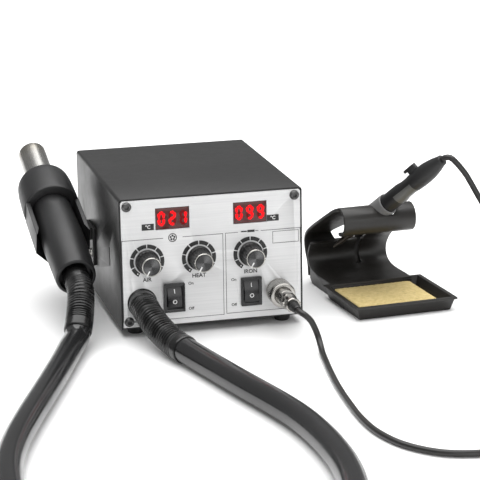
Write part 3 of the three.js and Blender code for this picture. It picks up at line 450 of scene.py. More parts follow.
def heatedSteelMaterial(end, way, reach):
    # drawn steel, slightly browned towards the hot end
    material, tree, shader, place = startMaterial("heatedSteel", {"Metallic": 1})
    local = addNode(tree, "ShaderNodeMapping", vector_type="POINT")
    turn = Vector(way).to_track_quat("Z", "Y").inverted()
    local.inputs["Rotation"].default_value = turn.to_euler()
    local.inputs["Location"].default_value = -(turn @ Vector(end))
    split = addNode(tree, "ShaderNodeSeparateXYZ")
    heat = addNode(tree, "ShaderNodeMapRange")
    heat.inputs["From Min"].default_value, heat.inputs["From Max"].default_value = -reach, 0
    tint = addNode(tree, "ShaderNodeValToRGB")
    tint.color_ramp.elements[0].color = (0.40, 0.40, 0.39, 1)
    tint.color_ramp.elements[1].color = (0.33, 0.31, 0.28, 1)
    tint.color_ramp.elements.new(0.72).color = (0.40, 0.39, 0.37, 1)
    tint.color_ramp.elements.new(0.88).color = (0.37, 0.35, 0.31, 1)
    drawn = addNode(tree, "ShaderNodeMapping")
    drawn.inputs["Scale"].default_value = (900, 900, 30)
    scratch = addNode(tree, "ShaderNodeTexNoise", Scale=1.0, Detail=4.0, Roughness=0.6)
    rough = addNode(tree, "ShaderNodeMapRange")
    rough.inputs["To Min"].default_value, rough.inputs["To Max"].default_value = 0.2, 0.36
    bump = addNode(tree, "ShaderNodeBump", Strength=0.06, Distance=0.0001)
    joinSockets(tree, (place.outputs["Object"], local.inputs["Vector"]),
        (local.outputs["Vector"], split.inputs[0]), (split.outputs["Z"], heat.inputs["Value"]),
        (heat.outputs["Result"], tint.inputs["Fac"]), (tint.outputs["Color"], shader.inputs["Base Color"]),
        (local.outputs["Vector"], drawn.inputs["Vector"]),
        (drawn.outputs["Vector"], scratch.inputs["Vector"]),
        (scratch.outputs["Fac"], rough.inputs["Value"]),
        (rough.outputs["Result"], shader.inputs["Roughness"]),
        (scratch.outputs["Fac"], bump.inputs["Height"]), (bump.outputs["Normal"], shader.inputs["Normal"]))
    return material


finish["brushedPlate"] = brushedMaterial()
finish["spunSheenCap"] = spunMaterial()
finish["litSegment"] = glowMaterial("litSegment", (1.0, 0.002, 0.006), 0.95)
# the unlit segments get a faint emission too: a painted glow, as they give no light
finish["unlitGlowSegment"] = glowMaterial("unlitGlowSegment", (0.22, 0.002, 0.002), 0.3)
finish["dampSponge"] = spongeMaterial()
print("finishes ready:", len(finish))


# mesh helpers
def shadeByAngle(bm, limit=0.55):
    for face in bm.faces:
        face.smooth = True
    for edge in bm.edges:
        edge.smooth = len(edge.link_faces) == 2 and edge.calc_face_angle(0) < limit


def keepPiece(bm, name, material, node=None, body=None, replaced=(), place=None, limit=0.55):
    # the finished mesh becomes a piece on a body, standing for CAD nodes
    if place:
        bmesh.ops.transform(bm, matrix=place, verts=bm.verts)
    shadeByAngle(bm, limit)
    mesh = bpy.data.meshes.new(name)
    bm.to_mesh(mesh)
    bm.free()
    mesh.materials.append(finish[material] if isinstance(material, str) else material)
    piece = bpy.data.objects.new(name, mesh)
    scene.collection.objects.link(piece)
    if body or node:
        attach(piece, body or bodyOf[node])
    for hidden in replaced:
        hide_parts(hidden)
    return piece


def spunSolid(profile, segments=48, closed=False):
    # (radius, height) pairs turned about local Z
    bm = bmesh.new()
    verts = [bm.verts.new((r, 0, h)) for r, h in profile]
    edges = [bm.edges.new(pair) for pair in zip(verts, verts[1:])]
    if closed:
        edges.append(bm.edges.new((verts[-1], verts[0])))
    bmesh.ops.spin(bm, geom=verts + edges, cent=(0, 0, 0), axis=(0, 0, 1), angle=2 * math.pi,
        steps=segments, use_merge=True)
    bmesh.ops.remove_doubles(bm, verts=bm.verts, dist=1e-5)
    bmesh.ops.recalc_face_normals(bm, faces=bm.faces)
    return bm


def softenEdges(bm, width, sharper=0.5, segments=2):
    edges = [e for e in bm.edges if len(e.link_faces) == 2 and e.calc_face_angle(0) > sharper]
    bmesh.ops.bevel(bm, geom=edges, offset=width, offset_type="OFFSET", affect="EDGES", segments=segments,
        profile=0.5, material=-1, clamp_overlap=True)


def boxSolid(low, high, soften=0, segments=2):
    bm = bmesh.new()
    bmesh.ops.create_cube(bm, size=1)
    size = Vector(high) - Vector(low)
    middle = (Vector(high) + Vector(low)) / 2
    bmesh.ops.scale(bm, vec=size, verts=bm.verts)
    bmesh.ops.translate(bm, vec=middle, verts=bm.verts)
    if soften:
        softenEdges(bm, soften, segments=segments)
    return bm


def joinInto(bm, *others):
    # other meshes are added to the first one and freed
    for other in others:
        spare = bpy.data.meshes.new("spare")
        other.to_mesh(spare)
        other.free()
        bm.from_mesh(spare)
        bpy.data.meshes.remove(spare)
    return bm


def moved(bm, vec=(0, 0, 0), turn=None):
    if turn:
        bmesh.ops.rotate(bm, cent=(0, 0, 0), matrix=turn, verts=bm.verts)
    bmesh.ops.translate(bm, vec=vec, verts=bm.verts)
    return bm


def fluteRound(bm, count, depth, chosen, power=1):
    # even grooves round local Z, on the points that a test of radius and height picks
    for vert in bm.verts:
        if chosen(math.hypot(vert.co.x, vert.co.y), vert.co.z):
            angle = math.atan2(vert.co.y, vert.co.x)
            share = 1 - depth * (0.5 + 0.5 * math.cos(count * angle)) ** power
            vert.co.x, vert.co.y = vert.co.x * share, vert.co.y * share


def nodeCopy(node, width=0.0, segments=2):
    # a merged copy of a CAD node, its flats rejoined and its edges rounded, in millimetres
    bm = bmesh.new()
    bm.from_mesh(frame["nodes"][node].data)
    bmesh.ops.scale(bm, vec=(1000, 1000, 1000), verts=bm.verts)
    bmesh.ops.remove_doubles(bm, verts=bm.verts, dist=2e-3)
    bmesh.ops.dissolve_limit(bm, angle_limit=0.02, verts=bm.verts, edges=bm.edges)
    if width:
        softenEdges(bm, width, sharper=0.6, segments=segments)
    return bm


def refineNode(node, material, width=0.0, segments=2):
    name = node.replace("_", " ").title().replace(" ", "")
    bm = nodeCopy(node, width, segments)
    return keepPiece(bm, name[0].lower() + name[1:], material, node=node, replaced=[node],
        place=Matrix.Scale(mm, 4))


def textSolid(text, size, thickness=0.05, weight=0.018):
    # lettering lies in local XY and stands up along Z
    curve = bpy.data.curves.new("lettering", "FONT")
    curve.body, curve.size, curve.extrude = text, size, thickness / 2
    curve.align_x, curve.align_y = "CENTER", "CENTER"
    curve.resolution_u, curve.offset = 3, size * weight
    holder = bpy.data.objects.new("lettering", curve)
    scene.collection.objects.link(holder)
    mesh = bpy.data.meshes.new_from_object(holder.evaluated_get(bpy.context.evaluated_depsgraph_get()))
    bm = bmesh.new()
    bm.from_mesh(mesh)
    bmesh.ops.remove_doubles(bm, verts=bm.verts, dist=1e-5)
    bmesh.ops.translate(bm, vec=(0, 0, thickness / 2), verts=bm.verts)
    bpy.data.objects.remove(holder)
    bpy.data.curves.remove(curve)
    bpy.data.meshes.remove(mesh)
    return bm


def smoothRoute(points, spacing):
    # evenly spaced points on a centripetal curve through the given ones
    p = [Vector(q) for q in points]
    p = [2 * p[0] - p[1], *p, 2 * p[-1] - p[-2]]
    dense = []
    for i in range(1, len(p) - 2):
        a, b, c, d = p[i - 1:i + 3]
        ta, tb, tc = (max(1e-6, (v - u).length ** 0.5) for u, v in ((a, b), (b, c), (c, d)))
        start = ((b - a) / ta - (c - a) / (ta + tb) + (c - b) / tb) * tb
        end = ((c - b) / tb - (d - b) / (tb + tc) + (d - c) / tc) * tb
        for k in range(24):
            t = k / 24
            dense.append(b + start * t + (3 * (c - b) - 2 * start - end) * t * t
                + (2 * (b - c) + start + end) * t ** 3)
    dense.append(p[-2])
    return evenly(dense, spacing)


def evenly(dense, spacing):
    far = [0.0]
    for a, b in zip(dense, dense[1:]):
        far.append(far[-1] + (b - a).length)
    count = max(2, round(far[-1] / spacing))
    result, k = [], 0
    for i in range(count + 1):
        goal = far[-1] * i / count
        while k < len(far) - 2 and far[k + 1] < goal:
            k += 1
        share = (goal - far[k]) / max(1e-9, far[k + 1] - far[k])
        result.append(dense[k].lerp(dense[k + 1], share))
    return result


def sweptSolid(route, radii, sides=24):
    # a round section carried along a route given in millimetres, its radius set point by point
    curve = bpy.data.curves.new("sweep", "CURVE")
    curve.dimensions, curve.bevel_depth = "3D", 1
    curve.bevel_resolution, curve.use_fill_caps = (sides - 4) // 2, True
    curve.twist_mode = "MINIMUM"
    line = curve.splines.new("POLY")
    line.points.add(len(route) - 1)
    for point, place, radius in zip(line.points, route, radii):
        point.co, point.radius = (*place, 1), radius
    holder = bpy.data.objects.new("sweep", curve)
    scene.collection.objects.link(holder)
    mesh = bpy.data.meshes.new_from_object(holder.evaluated_get(bpy.context.evaluated_depsgraph_get()))
    bm = bmesh.new()
    bm.from_mesh(mesh)
    bmesh.ops.remove_doubles(bm, verts=bm.verts, dist=1e-4)
    bmesh.ops.recalc_face_normals(bm, faces=bm.faces)
    bpy.data.objects.remove(holder)
    bpy.data.curves.remove(curve)
    bpy.data.meshes.remove(mesh)
    return bm


intoRow = Matrix.Translation(zero) @ Matrix.Scale(mm, 4)    # working millimetres to the row frame

# free hose and cord: their routes come first
hose = {
    "radius": 9.35, "lift": 9.55, "outlet": (-54, 26),
    "butt": (-98.3, 28, 41.6), "rise": 18, "yaw": 1.2,
    "liftFrom": (-67.8, -82.1, 9), "liftTo": (-108, -28.5, 9),
}
handsetYaw = Quaternion((0, 0, 1), math.radians(hose["yaw"]))
handsetTurn = handsetYaw @ Quaternion((1, 0, 0), math.radians(hose["rise"]))
handsetWay = handsetTurn @ Vector((0, 1, 0))
butt = Vector(hose["butt"])


def beyond(route, distance):
    last, end = Vector(route[-2]), Vector(route[-1])
    return tuple(end + (end - last).normalized() * distance)


ox, oz = hose["outlet"]
outletBootRoute = [(ox, -1.5, oz), (ox + 0.2, -9, oz - 1), (-52.8, -20, 22.2), (-50.2, -33, 17.8),
    (-46.2, -47, 13.8), (-41.8, -62, 11.3), (-38, -74.5, 10.6)]
handsetBootRoute = [tuple(butt + Vector(step)) for step in ((-0.1, -19.1, -6.6), (-2.2, -28.4, -14.6),
    (-4.7, -36.6, -22), (-7.9, -46, -28.2))]
hoseFloor = [(-30.6, -100), (-24.8, -123), (-18.8, -147), (-12.5, -171), (-6.3, -194), (-1, -216),
    (3, -238), (5.6, -263), (6.6, -292), (5, -326), (-1, -362), (-13, -398), (-34, -430), (-64, -451),
    (-102, -458), (-140, -446), (-171, -419), (-190, -382), (-198, -340), (-197, -298), (-191, -258),
    (-181, -221), (-168.8, -186), (-154.8, -149), (-140, -110), (-126, -72)]
hoseRoute = [beyond(outletBootRoute, 0.3), beyond(outletBootRoute, 8),
    *[(x, y, hose["lift"]) for x, y in hoseFloor], (-116.6, -46, hose["lift"] + 0.4),
    beyond(handsetBootRoute, 5), beyond(handsetBootRoute, 0.3)]

cord = {
    "radius": 2.3, "lift": 2.4, "start": (50.4, -57.3, 27.4), "coil": (218, -110), "coilRadius": 27,
    "stand": (115.3, -6.9, 0), "standTurn": 5, "iron": (34.5, 46, 72.9), "way": (0.3734, -0.6828, 0.628),
    "gripEnd": 76, "drawFrom": (215, -20, 35), "drawTo": (215, -20, 110),
}
standTurn = Quaternion((0, 0, 1), math.radians(cord["standTurn"]))
ironWay = standTurn @ Vector(cord["way"]).normalized()
ironPoint = Vector(cord["stand"]) + standTurn @ Vector(cord["iron"])


def ironTail(distance):
    return ironPoint + ironWay * distance


def coilTurns(v):
    # two turns side by side on the bench, then one on top of them, wound the same way
    cx, cy = v["coil"]
    first, last, turns = -8, 24, 3
    sweep = 360 * turns + last - first
    points = []
    for i in range(0, sweep + 1, 12):
        angle, share = math.radians(first + i), i / sweep
        inward = min(1, max(0, (share - 0.25) / 0.12))
        climb = min(1, max(0, (share - 0.55) / 0.12))
        radius = v["coilRadius"] + 2.5 - 4.9 * inward + 2.4 * climb
        height = v["lift"] + 4.1 * climb + 4.2 * min(1, max(0, (share - 0.86) / 0.14))
        points.append((cx + radius * math.cos(angle), cy + radius * math.sin(angle), height))
    return points


def cordRoute(v):
    x, y, z = v["start"]
    down = [(x, y, z), (x, -60, z), (52.8, -64.4, 26.2), (57, -66.3, 22.2), (60, -68, 16),
        (61.6, -70.5, 10.4), (61.8, -76, 5.6), (60.6, -84.5, 3)]
    floor = [(57.6, -104), (54, -128), (50, -160), (47.2, -196), (46, -228), (48.6, -256), (58, -282),
        (77, -302), (106, -309), (138, -302), (170, -283), (200, -254), (225, -220), (243, -184),
        (251, -150)]
    tail = ironTail(v["gripEnd"] + 0.3)
    fall = [(4.2, -5.6, 2.2), (6.4, -7, 0.3), (8.9, -8.4, -2.6), (11.6, -9.7, -6), (14.5, -11.1, -10.2),
        (17.1, -12.5, -15), (19.6, -14.2, -20), (22.4, -16.8, -26), (25.8, -20.4, -33), (30.6, -27, -43.5),
        (37.6, -38.4, -61), (45.4, -51.6, -79), (52.8, -64.6, -92), (58.8, -76.6, -99.8)]
    rising = [tuple(tail + Vector(step)) for step in reversed(fall)]
    return [*down, *[(a, b, v["lift"]) for a, b in floor], *coilTurns(v), *rising,
        tuple(ironTail(v["gripEnd"] + 3)), tuple(tail)]


def routeLength(points):
    return sum((b - a).length for a, b in zip(points, points[1:]))


def makeHose():
    route = smoothRoute(hoseRoute, 6)
    bm = sweptSolid(route, [hose["radius"]] * len(route), 32)
    piece = keepPiece(bm, "airHose", "hoseRubber", place=intoRow)
    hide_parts("air_hose")
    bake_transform(piece)
    return piece, route


def makeCord():
    route = smoothRoute(cordRoute(cord), 2.5)
    bm = sweptSolid(route, [cord["radius"]] * len(route), 12)
    piece = keepPiece(bm, "ironCord", "cordJacket", place=intoRow)
    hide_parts("iron_cord_lower", "iron_cord_coil", "iron_cord_upper")
    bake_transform(piece)
    return piece, route


airHose, hoseLine = makeHose()
ironCord, cordLine = makeCord()
print("hose", round(routeLength(hoseLine)), "mm, cord", round(routeLength(cordLine)), "mm")


# corrugated boots
boots = {
    "outlet": {"flange": 11.2, "ribFrom": 5, "ribTo": 70, "pitch": 3.0, "groove": 1.7, "start": 10.7,
        "end": 10.4},
    "handset": {"flange": 0, "ribFrom": 17, "ribTo": 55, "pitch": 2.35, "groove": 1.2, "start": 9.9,
        "end": 10.4},
}


def ribbedRadius(v, far):
    share = min(1, far / v["ribTo"])
    radius = v["start"] + (v["end"] - v["start"]) * share
    if v["ribFrom"] < far < v["ribTo"]:
        phase = ((far - v["ribFrom"]) / v["pitch"]) % 1
        valley = max(0, 1 - abs(phase - 0.5) / 0.26)
        radius -= v["groove"] * valley ** 0.5
    return radius


def makeBoot(name, v, points, node):
    route = smoothRoute(points, 0.34)
    total = routeLength(route)
    step = total / (len(route) - 1)
    radii = [ribbedRadius(v, i * step) for i in range(len(route))]
    for i in range(4):    # a rounded rim where the hose goes in
        radii[-1 - i] -= 0.5 * (1 - i / 4) ** 2
    bm = sweptSolid(route, radii, 32)
    if v["flange"]:
        flange = spunSolid([(0, 0), (v["flange"], 0), (v["flange"], 1.6), (v["flange"] - 0.8, 2.4),
            (0, 2.4)])
        joinInto(bm, moved(flange, (ox, 0, oz), Matrix.Rotation(math.pi / 2, 3, "X")))
    return keepPiece(bm, name, "bootRubber", node=node, replaced=[node], place=intoRow, limit=0.9)


outletBoot = makeBoot("outletBoot", boots["outlet"], outletBootRoute, "outlet_boot")
cuffRoute = [tuple(butt + handsetWay * 6.5), tuple(butt - handsetWay * 6), *handsetBootRoute]
handsetBoot = makeBoot("handsetBoot", boots["handset"], cuffRoute, "handset_boot")
print("boots ready")


# sheet-metal case
caseEdges = {"case_cover": 0.3, "base_pan": 0.2, "rear_panel": 0.2, "handset_bracket": 0.5}
screw = {"head": 3.7, "low": 12, "high": 100, "x": 64, "socket": 1.85}
foot = {"radius": 6.5, "height": 6, "x": 57, "front": 13, "rear": 164}


def makeCase():
    for node, width in caseEdges.items():
        refineNode(node, "casePaint", width)
    refineNode("front_panel", "brushedPlate", 0.12)
    refineNode("power_inlet", "glossBlack", 0.4)
    refineNode("fuse_holder", "glossBlack", 0.3)
    for node in ("bracket_screw_front", "bracket_screw_rear"):
        refineNode(node, "bareSteel", 0.15)


def hexSocket(bm, radius):
    # the innermost rings are pressed into six flats
    for vert in bm.verts:
        far = math.hypot(vert.co.x, vert.co.y)
        if 0.1 < far < radius + 0.1:
            turn = math.atan2(vert.co.y, vert.co.x) % (math.pi / 3) - math.pi / 6
            share = math.cos(math.pi / 6) / math.cos(turn)
            vert.co.x, vert.co.y = vert.co.x * share, vert.co.y * share


def makePanelScrew(node, x, z, v):
    r = v["head"]
    bm = spunSolid([(0, 0.1), (v["socket"], 0.1), (v["socket"], 2.0), (v["socket"] + 0.2, 2.2), (2.5, 2.15),
        (2.95, 1.85), (3.35, 1.4), (r - 0.1, 0.8), (r, 0.4), (r, 0), (0, 0)], 36)
    hexSocket(bm, v["socket"])
    name = "panelScrew" + "".join(word.title() for word in node.split("_")[2:])
    return keepPiece(bm, name, "blackScrew", node=node, replaced=[node], place=outOfPanel(x, 0, z))


def makeFoot(node, x, y, v):
    r, h = v["radius"], v["height"]
    bm = spunSolid([(0, 1.2), (2.4, 1.2), (2.4, 0.2), (2.9, 0), (r - 1.5, 0), (r - 0.9, 0.5),
        (r - 0.5, 1.5), (r - 0.1, h - 1), (r, h - 0.1), (0, h - 0.1)], 40)
    place = Matrix.Translation(at(x, y, 0)) @ Matrix.Scale(mm, 4)
    name = "foot" + "".join(word.title() for word in node.split("_")[1:])
    return keepPiece(bm, name, "footRubber", node=node, replaced=[node], place=place)


makeCase()
for high in ("top", "bottom"):
    for side, way in (("left", -1), ("right", 1)):
        height = screw["high"] if high == "top" else screw["low"]
        makePanelScrew(f"panel_screw_{high}_{side}", way * screw["x"], height, screw)
for end in ("front", "rear"):
    for side, way in (("left", -1), ("right", 1)):
        makeFoot(f"foot_{end}_{side}", way * foot["x"], foot[end], foot)
print("case ready")


# printing on the panel
ink = {
    "proud": 0.12, "line": 0.35, "scaleOuter": 13.1, "scaleInner": 10.1, "segments": 8, "sweep": 300,
    "labelSize": 4.3, "smallSize": 3.1, "fan": (-29.8, 74.4),
    "borders": (
        [(-68.3, 74.4), (-37.1, 74.4)],
        [(-22, 74.4), (8.5, 74.4), (8.5, 11.6), (-68.3, 11.6), (-68.3, 74.4)],
        [(20, 74.5), (10.6, 74.5), (10.6, 12.2), (60, 12.2)],
        [(38, 74.5), (68.4, 74.5), (68.4, 63)],
    ),
    "plate": [(47, 64), (67, 64), (67, 73), (47, 73), (47, 64)], "plateLine": 0.3,
    "labels": (("AIR", -49.7, 43.4), ("HEAT", -10.2, 43.6), ("IRON", 29.5, 43.6)),
    "switchLabelXs": (-16.6, 16.4), "onHeight": 38, "offHeight": 18.5,
    "dotRadius": 0.5, "dotReach": 11.6, "dotAngle": 231, "dotProud": 0.2,
}
knobXs = {"Air": -49.5, "Heat": -10, "Iron": 29.5}
knobZ = 57.5


def raised(bm, thickness):
    # a flat outline becomes a closed slab
    made = bmesh.ops.extrude_face_region(bm, geom=bm.faces[:], use_keep_orig=True)
    verts = [item for item in made["geom"] if isinstance(item, bmesh.types.BMVert)]
    bmesh.ops.translate(bm, vec=(0, 0, thickness), verts=verts)
    bmesh.ops.recalc_face_normals(bm, faces=bm.faces)
    return bm


def arcBand(inner, outer, start, sweep, thickness, steps=8):
    bm = bmesh.new()
    verts = [bm.verts.new((r * math.cos(start), r * math.sin(start), 0)) for r in (inner, outer)]
    edge = bm.edges.new(verts)
    bmesh.ops.spin(bm, geom=[*verts, edge], cent=(0, 0, 0), axis=(0, 0, 1), angle=sweep, steps=steps)
    return raised(bm, thickness)


def strip(x0, z0, x1, z1, thickness):
    return boxSolid((x0, z0, 0), (x1, z1, thickness))


def knobScale(x, z, v):
    parts = []
    step = math.radians(v["sweep"] / v["segments"])
    for i in range(v["segments"]):
        start = math.radians(240) - i * step - 0.03
        band = arcBand(v["scaleInner"], v["scaleOuter"], start, -(step - 0.06), v["proud"])
        parts.append(moved(band, (x, z, 0)))
    return parts


def framePath(points, width, thickness):
    parts = []
    for (x0, z0), (x1, z1) in zip(points, points[1:]):
        w = width / 2
        parts.append(strip(min(x0, x1) - w, min(z0, z1) - w, max(x0, x1) + w, max(z0, z1) + w, thickness))
    return parts


def fanMark(v):
    x, z = v["fan"]
    parts = [moved(arcBand(2.7, 3.3, 0, 2 * math.pi, v["proud"], 32), (x, z, 0))]
    for i in range(5):
        blade = spunSolid([(0, 0), (0.78, 0), (0.78, v["proud"]), (0, v["proud"])], 14)
        angle = math.radians(18 + 72 * i)
        parts.append(moved(blade, (x + 1.5 * math.cos(angle), z + 1.5 * math.sin(angle), 0)))
    return parts


def ironMark(v):
    parts = [strip(22.5, 74.3, 27, 75.3, v["proud"]), strip(27.4, 73.9, 33, 75.7, v["proud"])]
    parts.append(strip(33.4, 74.6, 36, 75, v["proud"]))
    return parts


def makeInk(v):
    t, w = v["proud"], v["line"]
    parts = [*fanMark(v), *ironMark(v)]
    for x in knobXs.values():
        parts.extend(knobScale(x, knobZ, v))
    for points in v["borders"]:
        parts.extend(framePath(points, w, t))
    parts.extend(framePath(v["plate"], v["plateLine"], t))
    for text, x, z in v["labels"]:
        parts.append(moved(textSolid(text, v["labelSize"], t), (x, z, 0)))
    for x in v["switchLabelXs"]:
        parts.append(moved(textSolid("On", v["smallSize"], t), (x, v["onHeight"], 0)))
        parts.append(moved(textSolid("Off", v["smallSize"], t), (x, v["offHeight"], 0)))
    bm = bmesh.new()
    joinInto(bm, *parts)
    piece = keepPiece(bm, "panelPrint", "panelPrint", body="root", place=outOfPanel(0, 0, 0))
    dots = bmesh.new()
    r, high, angle = v["dotRadius"], v["dotProud"], math.radians(v["dotAngle"])
    across, up = v["dotReach"] * math.cos(angle), v["dotReach"] * math.sin(angle)
    for x in knobXs.values():
        dot = spunSolid([(0, 0), (r, 0), (r, high), (0, high)], 16)
        joinInto(dots, moved(dot, (x + across, knobZ + up, 0)))
    piece = keepPiece(dots, "scaleDots", "markWhite", body="root", place=outOfPanel(0, 0, 0))


makeInk(ink)


# displays
display = {
    "z": 89.2, "width": 25.2, "height": 16, "depth": 8, "digitHeight": 11.2, "digitWidth": 5.7,
    "pitch": 8.3, "stroke": 2.15, "frame": 0.9,
}
segmentsOf = {"0": "abcdef", "1": "bc", "2": "abged", "9": "abcdfg"}


def segmentBar(length, stroke, upright):
    bm = bmesh.new()
    bmesh.ops.create_circle(bm, cap_ends=True, segments=6, radius=stroke / math.sqrt(3))
    reach = length / 2 - stroke / math.sqrt(3)
    for vert in bm.verts:
        vert.co.x += math.copysign(reach, vert.co.x)
    raised(bm, 0.12)
    return moved(bm, (0, 0, 0), Matrix.Rotation(math.pi / 2, 3, "Z")) if upright else bm


def digitParts(character, v):
    w, h, s = v["digitWidth"] - v["stroke"], v["digitHeight"] - v["stroke"], v["stroke"]
    places = {
        "a": (0, h / 2, False), "b": (w / 2, h / 4, True), "c": (w / 2, -h / 4, True),
        "d": (0, -h / 2, False), "e": (-w / 2, -h / 4, True), "f": (-w / 2, h / 4, True),
        "g": (0, 0, False),
    }
    lit, dark = [], []
    for name, (x, z, upright) in places.items():
        bar = segmentBar((h / 2 if upright else w) - 0.25, s, upright)
        bmesh.ops.translate(bar, vec=(x, z, 0), verts=bar.verts)
        (lit if name in segmentsOf[character] else dark).append(bar)
    return lit, dark


def makeDisplay(name, node, x, value, v):
    place = outOfPanel(x, 0, v["z"])
    w, h = v["width"] / 2, v["height"] / 2
    lens = boxSolid((-w, -h, -v["depth"]), (w, h, -0.3), 0.25)
    keepPiece(lens, f"display{name}", "bezelBrown", node=node, replaced=[node], place=place)
    glow, ghosts = bmesh.new(), bmesh.new()
    for i, character in enumerate(value):
        lit, dark = digitParts(character, v)
        shift = ((i - 1) * v["pitch"], 0, -0.32)
        joinInto(glow, *[moved(part, shift) for part in lit])
        joinInto(ghosts, *[moved(part, (shift[0], 0, -0.34)) for part in dark])
    piece = keepPiece(glow, f"digits{name}", "litSegment", body="root", place=place)
    if ghosts.verts:
        piece = keepPiece(ghosts, f"unlit{name}", "unlitGlowSegment", body="root", place=place)
    else:
        ghosts.free()
    side = math.copysign(1, x)
    tabX = (-17.8 - v["frame"], 17.6)[side > 0]
    tab = boxSolid((tabX - 4.6, -7.9, 0.02), (tabX + 4.6, -3.1, 0.3), 0.12)
    piece = keepPiece(tab, f"unitTab{name}", "panelPrint", body="root", place=place)
    text = moved(textSolid("\u00b0C", 3.6, 0.1), (tabX, -5.5, 0.28))
    piece = keepPiece(text, f"unitText{name}", "markWhite", body="root", place=place)


makeDisplay("Air", "display_module_air", -29.6, "021", display)
makeDisplay("Iron", "display_module_iron", 29.6, "099", display)
print("panel ready")


# knobs
knob = {
    "lift": 0.8, "length": 15.2, "base": 9.2, "top": 7.5, "flutes": 20, "fluteDepth": 0.055,
    "pointer": 240,
}


def knobBody(v):
    top = v["lift"] + v["length"]
    bm = spunSolid([(0, v["lift"]), (v["base"] - 0.3, v["lift"]), (v["base"], v["lift"] + 0.3),
        (v["base"], 2.6), (v["base"] - 0.25, 3.2), (v["base"] - 0.7, 3.7), (v["base"] - 1, 5), (8.0, 9),
        (7.7, top - 1.6), (v["top"], top - 0.5), (v["top"] - 0.4, top), (0, top)], 120)
    fluteRound(bm, v["flutes"], v["fluteDepth"], lambda far, z: far > 5 and 3.4 < z < top - 0.2, 1.6)
    return bm


def knobCapDisc(v):
    top = v["lift"] + v["length"]
    bm = spunSolid([(0, top - 0.2), (v["top"] - 1.2, top - 0.2), (v["top"] - 1.2, top + 1.1),
        (v["top"] - 1.5, top + 1.3), (v["top"] - 2.0, top + 1.32), (v["top"] - 2.2, top + 1.2),
        (0, top + 1.1)], 72)
    turnedMap = bm.loops.layers.uv.new("turned")
    for face in bm.faces:
        for loop in face.loops:
            loop[turnedMap].uv = loop.vert.co.xy
    return bm


def makeKnob(name, x, v):
    place = outOfPanel(x, 0, knobZ)
    node = name.lower()
    top = v["lift"] + v["length"]
    keepPiece(knobBody(v), f"knob{name}", "knobPlastic", node=f"knob_{node}", replaced=[f"knob_{node}"],
        place=place, limit=0.8)
    keepPiece(knobCapDisc(v), f"knobCap{name}", "spunSheenCap", node=f"knob_cap_{node}",
        replaced=[f"knob_cap_{node}"], place=place, limit=0.4)
    rim = spunSolid([(v["top"] - 1.1, top - 0.3), (v["top"] - 0.35, top - 0.3),
        (v["top"] - 0.3, top + 0.75), (v["top"] - 0.55, top + 1.0), (v["top"] - 0.85, top + 1.05),
        (v["top"] - 1.1, top + 0.9)], 72, closed=True)
    piece = keepPiece(rim, f"knobRim{name}", "bareSteel", body=f"knob_{node}", place=place)
    angle = math.radians(v["pointer"])
    mark = boxSolid((3.2, -0.5, top + 1.05), (v["top"] - 0.2, 0.5, top + 1.4), 0.12)
    moved(mark, (0, 0, 0), Matrix.Rotation(angle, 3, "Z"))
    lower = boxSolid((v["top"] - 0.9, -0.5, top - 5), (v["top"] + 0.15, 0.5, top + 0.9), 0.12)
    moved(lower, (0, 0, 0), Matrix.Rotation(angle, 3, "Z"))
    piece = keepPiece(joinInto(mark, lower), f"knobPointer{name}", "markWhite", body=f"knob_{node}",
        place=place)
    finishNode(f"potentiometer_{node}", "bareSteel")


def finishNode(node, material):
    # a CAD node that keeps its own shape takes its finish here
    mesh = frame["nodes"][node].data
    mesh.materials.clear()
    mesh.materials.append(finish[material])


for name, x in knobXs.items():
    makeKnob(name, x, knob)
print("knobs ready")


# switches
switch = {
    "z": 28.2, "width": 16, "height": 22.2, "proud": 2, "room": 5.8, "pivot": 3, "tilt": 10,
    "peak": 5.6, "end": 4.2, "reach": 8,
}
switchXs = {"Air": -29.5, "Iron": 29.7}


def makeSwitch(name, x, v):
    node = name.lower()
    place = outOfPanel(x, 0, v["z"])
    w, h = v["width"] / 2, v["height"] / 2
    bezel = boxSolid((-w, -h, 0), (w, h, v["proud"]))
    upright = [e for e in bezel.edges if abs(e.verts[0].co.z - e.verts[1].co.z) > 1]
    bmesh.ops.bevel(bezel, geom=upright, offset=0.9, affect="EDGES", segments=4, profile=0.5, material=-1)
    front = max(bezel.faces, key=lambda face: face.calc_center_median().z)
    bmesh.ops.inset_region(bezel, faces=[front], thickness=w - v["room"], use_even_offset=True)
    bmesh.ops.translate(bezel, vec=(0, 0, -0.5), verts=front.verts)
    bmesh.ops.inset_region(bezel, faces=[front], thickness=0.05, use_even_offset=True)
    bmesh.ops.translate(bezel, vec=(0, 0, -7.5), verts=front.verts)
    softenEdges(bezel, 0.2, sharper=0.9)
    back = boxSolid((-w + 1.6, -h + 1.6, -14), (w - 1.6, h - 1.6, -6.2), 0.3)
    for z in (-5, 0, 5):
        joinInto(back, boxSolid((-2.4, z - 0.4, -21), (2.4, z + 0.4, -13.8), 0.1))
    keepPiece(joinInto(bezel, back), f"switchHousing{name}", "glossBlack", node=f"switch_housing_{node}",
        replaced=[f"switch_housing_{node}"], place=place)
    refineNode(f"rocker_{node}", "glossBlack", 0.45, 3)
    for text, side in (("I", 1), ("O", -1)):
        mark = textSolid(text, 4.4, 0.16)
        spot = rockerSpot(x, side, v)
        piece = keepPiece(mark, f"rockerMark{name}{text}", "markWhite", body=f"rocker_{node}", place=spot)


def rockerSpot(x, side, v):
    # the middle of the rocker's upper or lower slope, at rest
    tilt = -math.radians(v["tilt"])
    middle = Vector((0, -(v["peak"] + v["end"]) / 2, side * v["reach"] / 2))
    slope = Vector((0, v["peak"] - v["end"], side * v["reach"]))
    turn = Matrix.Rotation(tilt, 3, "X")
    middle, slope = turn @ middle, turn @ slope
    up = slope * side
    outward = Vector((1, 0, 0)).cross(up).normalized()
    return frameOf(at(x, v["pivot"] + middle.y, v["z"] + middle.z) + outward * 0.00002, outward, (1, 0, 0))


